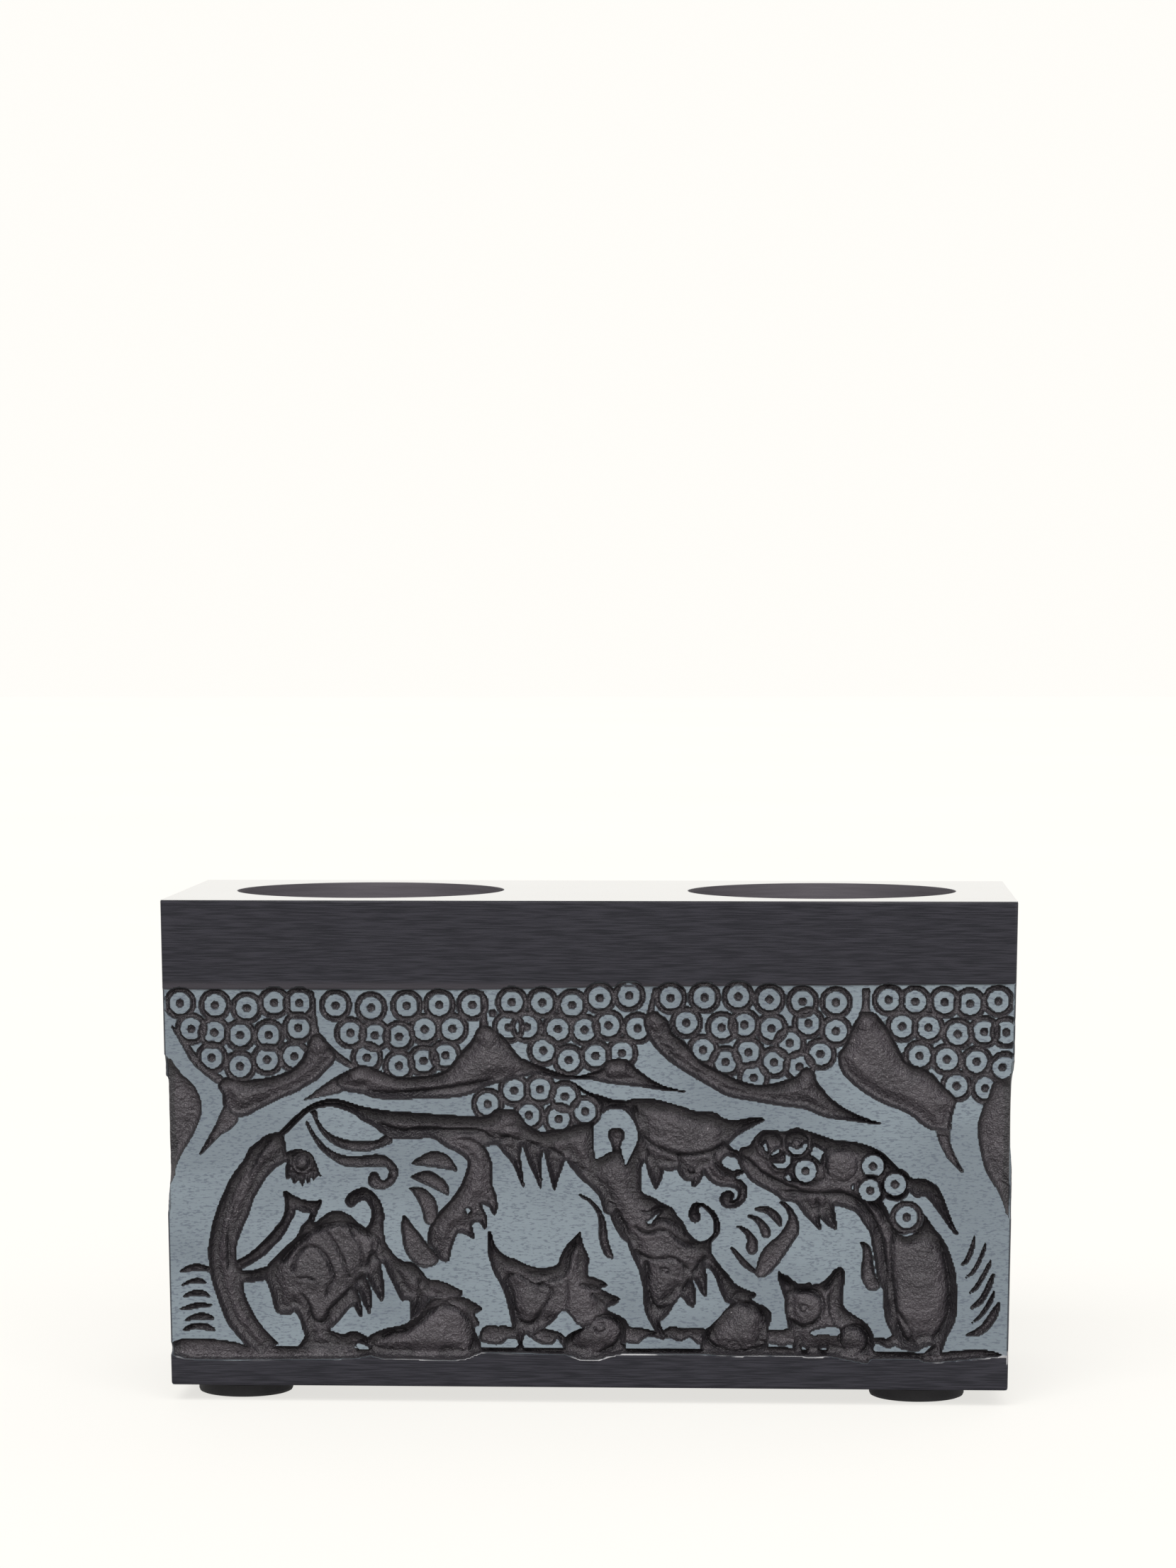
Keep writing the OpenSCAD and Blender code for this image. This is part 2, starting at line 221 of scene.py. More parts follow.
FIRST_TUSK = [
    (-62.8, 21.2), (-62.6, 22.1), (-61, 23), (-59.5, 24.1), (-58, 25.5), (-56.5, 27), (-55.5, 28.25),
    (-54.75, 29), (-54, 30.75), (-53.75, 32.25), (-54, 33.5), (-54.05, 34.75), (-53, 34.25), (-51.75, 33.5),
    (-50, 32.95), (-48.5, 32.8), (-47.5, 33.1), (-47.5, 32.25), (-48, 31.25), (-48.4, 30.25), (-48.9, 29.1),
    (-49.75, 29.5), (-49.4, 30.75), (-50.9, 31), (-51.9, 31.4), (-52.3, 30.2), (-53, 29), (-53.75, 27.5),
    (-55, 25.75), (-56.25, 24.4), (-57.75, 23.1), (-59.5, 21.9), (-61.25, 21), (-62, 20.5),
]
FIRST_EYE = [
    (-54, 41.2), (-53, 41.8), (-51.5, 42.1), (-50, 41.8), (-49, 41), (-48.3, 39.5), (-47.9, 38.3),
    (-47.5, 37.5), (-48, 37.5), (-48.5, 37), (-48.9, 36.7), (-49.2, 37.3), (-49.5, 36.3), (-49.9, 36.2),
    (-50.2, 37), (-50.6, 36), (-50.9, 35.7), (-51.3, 36.6), (-51.7, 36.4), (-52.4, 36), (-52.7, 37.2),
    (-53.6, 36.9), (-53.7, 38.5), (-53.6, 39.8), (-54.3, 39.8),
]
FIRST_CALF = [
    (-57.4, 20.6), (-56.5, 22), (-55, 23.5), (-53, 25.4), (-51.5, 27), (-51, 28.25), (-50, 29.25),
    (-49.25, 30.25), (-48.9, 30.9), (-48, 31.25), (-48.4, 30.25), (-48.9, 29.1), (-48.25, 29.2),
    (-47.25, 30), (-46, 30.9), (-44.5, 31.2), (-43, 30.75), (-41.75, 29.9), (-40.75, 29), (-40, 28.4),
    (-39.2, 28.3), (-38.6, 29.5), (-38.4, 31), (-38.9, 32.3), (-39.7, 33.1), (-40.7, 32.8), (-41.5, 32.2),
    (-42.2, 31.8), (-42.9, 32.4), (-43.1, 33.1), (-42.6, 34), (-41.6, 34.8), (-40.3, 35.3), (-39, 35.1),
    (-38, 34.3), (-37, 33), (-36.4, 31.5), (-36.2, 30), (-36.4, 28.8), (-36.1, 26), (-35.5, 24.7), (-34, 23),
    (-33, 22.3), (-31, 21.9), (-30, 21), (-28.7, 19.4), (-27.5, 18), (-29, 14), (-31.4, 11.7),
    (-31.5, 14.75), (-32.3, 15.4), (-33.1, 15.25), (-34.4, 17.75), (-35.5, 20), (-36.2, 21.6), (-36.9, 21.8),
    (-36.5, 19.75), (-36.25, 17), (-36.6, 15.1), (-37.6, 16.25), (-38.9, 18.6), (-39.6, 19.8), (-38.6, 17),
    (-38.5, 14.5), (-38.9, 12.75), (-39.4, 13.7), (-40, 14.75), (-40.5, 16.2), (-41.2, 17.3), (-40.6, 15.75),
    (-40.2, 13.5), (-40.4, 12.1), (-41.25, 13.5), (-42, 14.25), (-43.75, 12.25), (-44.9, 11), (-46, 9.9),
    (-44.8, 9.4), (-43.6, 9), (-42.75, 9.4), (-41.75, 9.75), (-40.5, 9.3), (-39.2, 8.4), (-39.4, 6),
    (-50, 6), (-51.6, 6.6), (-50.75, 8), (-50.4, 9), (-50.9, 10.25), (-51.1, 11.5), (-52.25, 13.25),
    (-52.75, 12.75), (-53.75, 12.6), (-55.25, 12.9), (-55.9, 14), (-56.1, 15.25), (-57, 18), (-57.6, 19.2),
]
FIRST_HARE = [
    (-39.6, 7.2), (-38.6, 9), (-36, 10.2), (-34, 10.6), (-32.5, 11), (-31.4, 11.7), (-30, 12.8), (-28, 15.3),
    (-24.5, 16), (-22, 15.8), (-20.5, 15.1), (-18.8, 13.9), (-19.4, 13.4), (-20.1, 12.9), (-19.8, 12.2),
    (-19.2, 11.2), (-20, 10.7), (-20.2, 10.3), (-19.5, 8.6), (-19.2, 8), (-18.9, 6.2), (-20, 5.6),
    (-21.5, 5), (-24, 4.7), (-33, 4.8), (-36.5, 4.9), (-38.6, 5.5),
]
FIRST_HARE_EAR = [
    (-30.5, 17.6), (-30, 18.7), (-28.5, 19), (-26.5, 18.8), (-24.7, 18.2), (-23.3, 17.4), (-22.3, 16.9),
    (-23, 15.6), (-25.5, 15.4), (-27.8, 15.4), (-29.5, 16.5),
]
CATERPILLARS = [
    [
        (-19.2, 9.2), (-18.8, 10.2), (-18, 10.8), (-17, 11), (-16, 10.7), (-15, 10.9), (-13.3, 10.4),
        (-12.4, 10), (-12.5, 8.4), (-14, 8.7), (-15, 7.9), (-15.8, 7.5), (-17, 7.6), (-19, 8.1),
    ],
    [
        (-10.1, 8.9), (-9.2, 9.9), (-8, 10.4), (-6.8, 10.1), (-5.5, 9.9), (-4.5, 9.4), (-3.6, 8.8),
        (-4.6, 7.6), (-5.3, 8.7), (-6, 7.9), (-7, 7.5), (-8.5, 7.8),
    ],
    [
        (6.4, 10.6), (7.3, 10.8), (10, 10.5), (12.3, 9.9), (13.6, 10.3), (15, 11), (16.8, 10.5), (18, 10.7),
        (20.6, 10.4), (20.4, 7.8), (19.4, 7.8), (18.8, 8.4), (18, 9), (17.2, 8.2), (16.3, 8.2), (15.3, 8.6),
        (14.4, 9), (13.8, 8.5), (12, 9), (10.8, 9.1), (9.8, 8.6), (9, 7.9), (8, 7.9), (6.6, 8.2), (5.6, 9.4),
    ],
    [
        (31, 10), (33, 10.5), (34.2, 10.3), (35.5, 10.7), (37, 10.5), (37, 8), (35.4, 8), (34.6, 7.6),
        (31.4, 8.4),
    ],
    [
        (49.8, 9.2), (51, 9), (52, 9.15), (53, 9), (54, 9.7), (55.6, 10.2), (57, 8.4), (56.3, 7),
        (55.2, 7.4), (54.4, 7.8), (53.4, 7.3), (52.3, 7.7), (51, 8.2), (50, 7.4),
    ],
]
FOX = [
    (-17.6, 27.6), (-17.1, 27.3), (-16.8, 26), (-16.2, 24.8), (-15.3, 23.8), (-14.2, 23.1), (-13, 22.8),
    (-11.8, 22.2), (-10.5, 21.6), (-9, 21.2), (-7.5, 21.2), (-6, 21.5), (-5.2, 22), (-4.8, 23.3), (-4, 24.8),
    (-2.8, 26.3), (-1.8, 27.2), (-1.3, 27.6), (-1, 26), (-0.5, 24.6), (0.2, 23), (0, 21), (0, 19.9),
    (0.5, 19.7), (2, 19.2), (3.4, 18.4), (3, 17.9), (2.3, 17.5), (4, 16.6), (5.6, 15.9), (5.4, 15.3),
    (4.8, 14.8), (3.3, 14.1), (4.3, 13.3), (5.5, 12.8), (6.5, 12.2), (7, 11.5), (7.3, 10.6), (6.8, 8),
    (6, 6), (1, 5.4), (-2.5, 5.5), (-4.2, 6.6), (-4.5, 9.2), (-5.5, 9.9), (-7.6, 10.4), (-9.2, 9.6),
    (-10.2, 8.8), (-11.1, 9.4), (-11.6, 6.6), (-12.6, 6.6), (-12.9, 9.4), (-13.4, 10.6), (-13.6, 12),
    (-14.4, 15.3), (-14.9, 17), (-15.7, 18.7), (-16.6, 20.3), (-17.2, 22), (-17.7, 24), (-17.7, 26),
]
# Dark areas round and inside the second elephant, on the right, and the cat below it.
NECK = [
    (-2.7, 54.4), (-1.5, 53.6), (0, 52.6), (3, 51.7), (4.5, 51.2), (7, 51), (8.5, 51.45), (9.5, 49), (8, 48),
    (6.6, 49.4), (5, 49.6), (3.4, 49.4), (2.6, 48.8), (2.2, 50), (1.2, 51.3), (0, 52), (-1.3, 53),
]
SECOND_HEAD = [
    (7.6, 51.2), (8.5, 51.45), (11, 51.4), (13, 51.05), (15, 50.5), (17, 49.9), (18.75, 49.3), (20, 49.1),
    (21.5, 49.2), (23, 48.75), (24, 48), (25.25, 47.7), (27, 47.75), (29, 48.1), (30.5, 48.1), (31.3, 47.75),
    (30.25, 47.1), (28.75, 46.25), (27, 45.25), (25.5, 44.1), (25.05, 43.4), (25.6, 42.6), (27, 42),
    (27, 40.6), (24.6, 41.3), (22, 39), (20.6, 38.6), (20.4, 37.7), (20, 36.9), (19.5, 36.2), (18.9, 35.75),
    (18.4, 36.1), (18.4, 36.8), (17.6, 36.9), (16.8, 37.3), (16.2, 38.2), (15.9, 38.95), (15.2, 38.7),
    (14.3, 38.5), (13.5, 38.9), (13.4, 38.2), (13, 36.9), (12.5, 35.8), (12, 35.3), (11.8, 35.7),
    (11.3, 36.8), (10.75, 38.3), (10.3, 40), (9.9, 40.1), (9.4, 38.6), (9, 37), (6.6, 38.6), (7, 40),
    (8.2, 42), (9, 44.6), (8.6, 46.6), (7.6, 48.4), (7, 49.6),
]
SECOND_CURL = [
    (19.8, 42), (20.3, 40.3), (20.6, 38.6), (21, 37.7), (21.8, 36.8), (23, 36.1), (24.5, 35.8), (25.8, 35.7),
    (26.6, 35.2), (26.8, 34.5), (26.3, 33.7), (25.6, 33.3), (25.9, 34.1), (25.8, 34.8), (25.2, 35.1),
    (24.4, 35), (23.8, 34.6), (23.5, 33.8), (23.6, 33), (24.2, 32.3), (25.1, 32), (26.2, 32.1), (27.2, 32.7),
    (28, 33.7), (28.3, 34.8), (28.2, 35.8), (27.6, 36.7), (26.8, 37.2), (26.1, 37.4), (27.2, 38.1),
    (27.9, 38.4), (26.9, 38.9), (25.9, 38.7), (24.9, 39), (24, 39.6), (23.7, 40.4), (24.2, 41.1), (24.4, 42),
    (22, 43),
]
SECOND_FRONT = [
    (12, 10.1), (11.5, 11), (10.7, 12.4), (10.2, 13.8), (10, 15.3), (10, 17), (9.6, 19), (9, 21.3),
    (8.1, 23), (7.4, 24.8), (7, 26), (6.2, 26.5), (5.2, 28), (4.4, 29.6), (4, 30.7), (3, 31.2), (2.6, 32.4),
    (2.2, 33.8), (1.2, 35), (0, 36.3), (-1, 38), (0, 40.2), (2, 41.4), (4.4, 42.4), (6, 42.4), (7, 42),
    (9.2, 43), (10.2, 41.5), (10, 40.2), (9.45, 39), (9.4, 37), (9.45, 35.4), (10.1, 34.4), (11.3, 34),
    (12.3, 33.4), (13.5, 32.7), (15, 32), (15.6, 31), (16.5, 30), (17.3, 28.8), (17.9, 27.5), (18.8, 26.6),
    (20, 26), (21, 26.3), (22, 27), (22.5, 28.2), (22.4, 29.5), (22, 30.6), (21.3, 31.5), (20.5, 32.2),
    (19.9, 32.2), (19.6, 31.6), (20, 30.8), (19.9, 29.9), (19.3, 29.5), (18.6, 29.6), (18.1, 30.2),
    (18, 31.2), (18.3, 32.2), (18.9, 32.9), (19.6, 33), (20.5, 32.8), (21.5, 32.2), (22.5, 31.3), (23.2, 30),
    (23.5, 28.6), (23.1, 27.3), (22.5, 26.7), (21.9, 26), (21.8, 25), (22, 24), (22.6, 23), (23.3, 22),
    (24.2, 21), (25, 20), (26, 18.7), (27, 18), (28.2, 17.5), (29.3, 17.1), (29.9, 16.8), (29.5, 16.2),
    (29, 16), (29.8, 15.2), (30.6, 14.9), (31.6, 14.4), (32.3, 13.8), (32.6, 13), (32.4, 12), (32.1, 11),
    (31.9, 9), (31.6, 6.4), (29, 5.8), (24, 5.8), (21, 6.2), (20, 7.4), (20.2, 10.3), (21, 10.5), (22, 11.2),
    (23.2, 12.4), (24.2, 13.6), (25, 14.4), (25.3, 15), (24.5, 15.4), (24, 16.3), (23.4, 17.6), (23, 18.9),
    (22.4, 20.2), (21.8, 21.2), (21.1, 21.5), (20.9, 21), (21.1, 20), (21.2, 18.5), (21.1, 17), (20.9, 16.3),
    (20.4, 16.6), (19.9, 17.4), (19.3, 18.6), (18.6, 19.4), (18.9, 18.3), (19.1, 17.2), (19.2, 16),
    (19, 14.8), (18.5, 14.4), (17.8, 14.9), (17.2, 15.6), (16.6, 16.3), (16.2, 16), (15.4, 15), (14.8, 14),
    (14.2, 13), (13.5, 12.3), (12.8, 11.8), (12.9, 11.2), (13.5, 10), (14.3, 9), (13.4, 8.5), (12.6, 9.2),
]
SECOND_BODY = [
    (26.8, 40.5), (27, 42.3), (27.6, 42.9), (28.6, 43.1), (29.3, 44.1), (30, 45.1), (31, 45.8), (32.3, 46),
    (33.6, 45.8), (34.8, 45.5), (36, 46.1), (37.2, 46.3), (38.2, 46), (40.5, 45.3), (42.5, 44.6), (44, 44.1),
    (46, 44), (48, 43.7), (50, 43.1), (51.5, 42.3), (53, 41.2), (54.5, 39.8), (56, 38.3), (57.5, 37.5),
    (59, 37.5), (60.5, 37), (62, 35.8), (63, 33.8), (64, 31), (65, 28.7), (65.5, 27.8), (65.3, 27.5),
    (64.7, 27.9), (63.7, 29.2), (62.5, 31), (61, 33), (60, 34.2), (59.2, 34.4), (58.3, 34.1), (57.5, 34.6),
    (57, 35.2), (56.5, 34.5), (55.5, 33.6), (54.3, 33.5), (53.2, 33.8), (52.6, 34.1), (52.2, 33.4),
    (52.8, 32.2), (53.4, 31), (53.8, 29.5), (54.8, 28.3), (56.3, 27.8), (58, 28.2), (59.2, 29.2),
    (59.5, 30.5), (59.2, 31.5), (60, 30.5), (61, 29), (61.8, 28), (62.6, 27), (63.5, 25.5), (64.3, 23.5),
    (65, 21), (65.3, 18), (65.4, 16), (65.2, 13.5), (64.9, 12), (64.3, 10.8), (63.6, 9.5), (63.2, 8.3),
    (62.8, 7.2), (62.4, 6), (59.6, 6), (60.2, 7), (61, 7.9), (59.5, 7.5), (58.5, 6.9), (57.3, 6.9),
    (56, 7.2), (54.6, 8.4), (54, 9.8), (53.6, 10.5), (52.9, 12), (52.5, 14), (52.5, 16), (52.4, 17.5),
    (51.9, 18.5), (51.3, 20), (51, 22), (50.7, 24), (50.3, 26), (50, 27.8), (48.8, 29.6), (47.6, 31.4),
    (46.5, 31.9), (45, 32.4), (43.6, 32.6), (43.95, 30.5), (44, 28.6), (43.7, 28.4), (42.5, 29.1),
    (41.5, 30), (41, 30.8), (41.2, 29.8), (41.3, 28.6), (41, 28.4), (39.6, 29.7), (38.2, 31.3), (37, 32.9),
    (36, 33.3), (34.8, 33.4), (33.8, 34.1), (32.6, 34.9), (31.5, 35.5), (30.3, 36.1), (29, 36.9),
    (28.2, 37.9), (27.4, 38.9), (26.9, 39.7),
]
CAT = [
    (33.9, 20.95), (34.5, 20.4), (35.3, 20.1), (36, 19.6), (36.8, 18.9), (37.5, 18.6), (38.5, 18.7),
    (39.4, 18.8), (39.8, 18.4), (40.3, 18.6), (41, 18.6), (41.6, 19), (42.6, 19.8), (43.4, 20.8), (44, 21.4),
    (44.7, 21.6), (45.3, 21.2), (45.5, 20.2), (45.4, 18.8), (45.2, 17), (45.1, 15.5), (45.6, 14.4),
    (46.4, 13.6), (47.5, 12.9), (48.5, 12.3), (49.5, 11.5), (50.2, 10.5), (50.6, 9.3), (50.8, 8), (50.9, 6),
    (44, 5.8), (37.2, 5.8), (36.4, 7), (36.4, 8.6), (35.7, 10.4), (35.3, 12.5), (35, 14), (35, 15.6),
    (34.5, 17.3), (34, 18.8), (33.7, 19.9),
]
# Cuts that open onto the block's upright edges.
EDGE_LEFT = [
    (-79, 60), (-75, 58.4), (-74.2, 57.8), (-73.2, 56.4), (-71.5, 54.5), (-70, 53), (-69.2, 51.3),
    (-68.8, 50), (-68.9, 48.5), (-69.6, 46.5), (-70.5, 44.7), (-71.5, 43.3), (-73, 41), (-74, 39),
    (-74.7, 36.5), (-79, 33),
]
EDGE_RIGHT = [
    (79, 55), (75, 55), (73.8, 55), (72.5, 54.8), (71.8, 54), (71.2, 52.2), (70.4, 51), (69.75, 49.25),
    (69.1, 47.25), (69.1, 45.25), (69.4, 43.25), (69.9, 41.25), (70.5, 39.25), (71.5, 37.5), (72.6, 35.5),
    (73.5, 33.5), (74.1, 31.75), (74.45, 31), (79, 28),
]
# Single gouge strokes: folds of skin and grass.
STROKES = [
    [
        (-31.1, 40), (-28.5, 41.6), (-27, 41.9), (-25.5, 41.5), (-24.3, 40.6), (-23.1, 38.5), (-24.3, 38.6),
        (-27.5, 39.1), (-30.7, 39.5),
    ],
    [
        (-31.3, 37.5), (-28.8, 38.4), (-27.3, 38), (-25.8, 37), (-24.8, 35.7), (-24.8, 34.1), (-27.5, 35.4),
        (-30.6, 36.8),
    ],
    [
        (-31.6, 35.4), (-29.2, 35.3), (-27.1, 33.3), (-26.7, 30.6), (-27.5, 28.9), (-28.9, 29.3),
        (-29.5, 31.8), (-31, 34.5),
    ],
    [
        (-32.6, 30.5), (-31, 28.5), (-28.5, 25.3), (-26.4, 22.7), (-27.8, 21.4), (-30, 21.4), (-32.4, 24),
        (-33.1, 28), (-33, 29.5),
    ],
    [
        (-48.3, 49.1), (-48, 47.6), (-47, 46), (-45.5, 44.8), (-43.5, 44), (-41, 43.6), (-37.5, 43.8),
        (-35.7, 44.9), (-34.7, 44), (-35.2, 43.2), (-38.5, 42), (-40.5, 41.8), (-43, 42.2), (-45, 43),
        (-46.7, 44.4), (-48, 46.2), (-48.9, 48.2), (-49.3, 48.8),
    ],
    [
        (-49.8, 47.1), (-48.5, 44.8), (-47.2, 43.2), (-45.5, 41.9), (-43.5, 41.1), (-41, 40.9),
        (-37.5, 41.3), (-35.8, 40.9), (-34.6, 40), (-33.8, 38.8), (-33.8, 37.5), (-34.5, 36.2),
        (-35.7, 35.3), (-37, 35.1), (-38.3, 35.4), (-39, 36.3), (-38.9, 37.3), (-38.3, 38.2), (-37.4, 37.9),
        (-36.9, 37), (-36.3, 36.6), (-35.6, 37.2), (-35.3, 38.2), (-35.6, 38.9), (-36.5, 39.2), (-39.5, 39),
        (-41.5, 39), (-43.5, 39.3), (-45.5, 40.5), (-47.3, 41.9), (-48.7, 43.9), (-49.7, 45.8),
        (-50.1, 46.8),
    ],
    [
        (-73, 20), (-72, 20.9), (-70.5, 21.5), (-69, 21.5), (-67.4, 20.9), (-67.4, 20.2), (-69, 20.4),
        (-71, 20.2),
    ],
    [(-72.7, 17.6), (-71.5, 18.5), (-70, 19), (-68.8, 18.9), (-67.9, 18.1), (-69.5, 18.2), (-71.2, 18)],
    [(-72.3, 15.6), (-71.3, 16.5), (-69.8, 16.9), (-68.3, 16.7), (-67.3, 15.7), (-69, 15.9), (-70.8, 15.8)],
    [(-72.9, 13.5), (-71.8, 14), (-70.3, 14.5), (-68.5, 14.6), (-66.8, 14.1), (-69, 13.8), (-71, 13.4)],
    [(-72, 11.4), (-70.8, 12.3), (-69.2, 12.8), (-67.6, 12.6), (-66.6, 11.8), (-68, 11.6), (-70, 11.6)],
    [
        (-72.4, 9.6), (-71.3, 10.6), (-69.5, 11), (-67.8, 10.8), (-66.2, 9.6), (-68, 9.7), (-70, 10),
        (-71.5, 9.6),
    ],
    [
        (-75, 7), (-72.5, 8.1), (-70, 8.2), (-66, 8), (-61.3, 7.1), (-60, 5.2), (-66, 4.8), (-72, 4.9),
        (-75, 5.6),
    ],
    [
        (-1.7, 34.5), (0.5, 33.5), (2, 32), (2.8, 30.5), (3.3, 29), (3.5, 27), (3.8, 25.5), (4.6, 23.2),
        (4, 23), (3.2, 23.4), (2.5, 24.8), (2.1, 26.5), (2.1, 28.5), (2, 30), (1.4, 31.5), (0.4, 32.9),
        (-1, 33.8),
    ],
    [
        (29.6, 32), (30.5, 32.3), (32, 32.3), (33.3, 31.6), (34.2, 30.5), (34.4, 29.2), (33.8, 29),
        (32.4, 30.5), (31.3, 31.3), (30, 31.6),
    ],
    [
        (28.2, 30.7), (29.2, 30.8), (30.5, 30.3), (31.6, 29.4), (32.3, 28.2), (32.2, 26.9), (31, 27),
        (30.6, 28.2), (30, 29.4), (29, 30.2),
    ],
    [
        (26.4, 28.8), (27.3, 28.8), (28.5, 28.2), (29.5, 27.2), (30.1, 26), (30, 24.4), (28.9, 23.8),
        (28.1, 25), (28.3, 26.2), (28, 27.3), (27.2, 28.2),
    ],
    [
        (25.4, 24.8), (25.8, 25), (27.4, 23.5), (28.4, 22.5), (30, 20.9), (30, 20.3), (28, 21.4),
        (27.1, 22.3), (26.3, 23.4),
    ],
    [
        (34, 33), (34.4, 33.3), (35.2, 33), (36.1, 32.1), (37, 30.6), (37.5, 29), (37.4, 27.8), (36.8, 26.7),
        (36, 25.5), (35, 24), (34, 22.5), (33, 21.3), (32, 20.3), (31, 19.8), (30.2, 19.8), (29.8, 20.4),
        (30, 21.8), (30.4, 23.3), (31, 24.5), (31.9, 25.6), (33.2, 26.7), (34.3, 27.8), (35.1, 29),
        (35.6, 30.4), (35.3, 31.6), (34.7, 32.4),
    ],
    [
        (48.1, 26.2), (49, 26.1), (49.8, 25.5), (50.3, 24.3), (50.5, 23), (50.7, 21.5), (51, 20.2),
        (51.7, 18.8), (51.5, 17.9), (50.2, 17.5), (49.3, 18.2), (48.6, 19.5), (48.4, 21), (48.6, 22.5),
        (48.8, 24), (48.6, 25.3),
    ],
    [
        (68.6, 27.6), (68.4, 25.3), (67.8, 23.6), (67, 22.4), (66, 22.2), (66.8, 23.3), (67.5, 25),
        (68.1, 26.7),
    ],
    [
        (70.4, 26.2), (70.5, 25.3), (70, 23.8), (69.2, 22), (68.2, 20.6), (66.8, 19.9), (67.8, 21),
        (68.8, 22.6), (69.6, 24.4),
    ],
    [
        (71.3, 23.1), (71.4, 22.4), (70.8, 20.9), (69.8, 19.2), (68.8, 17.8), (67.3, 17), (68.2, 18.1),
        (69.2, 19.6), (70.1, 21.2),
    ],
    [
        (71.8, 20.8), (72, 20.2), (71.6, 18.6), (70.8, 16.8), (69.6, 15.2), (67.5, 14.3), (69.2, 16.2),
        (70.2, 17.8), (71, 19.6),
    ],
    [
        (72, 17.8), (72.1, 17), (71.5, 15.4), (70.4, 13.7), (69.2, 12.5), (67.9, 11.9), (69, 13),
        (70.1, 14.5), (71.1, 16.2),
    ],
    [
        (72.7, 15.6), (73, 14.9), (72.7, 13.4), (71.8, 11.8), (70.5, 10.4), (69, 9.6), (66.9, 9.7), (69, 11),
        (70.2, 12.2), (71.3, 13.8),
    ],
]
GROUND_TOP = [
    (73.2, 6.3), (72, 6.8), (69.5, 7.1), (65, 6.9), (61.5, 6.4), (56, 6.6), (51, 6.6), (42, 6.9), (38, 6.9),
    (36, 7.2), (31.9, 7.5), (26, 7), (20, 7), (12, 7), (5.5, 6.9), (0, 6.8), (-5, 6.9), (-12, 7), (-19, 7),
    (-26, 6.8), (-39, 6.6), (-42, 6.7), (-46, 7), (-51, 6.8), (-55.4, 6.9), (-60, 7),
]
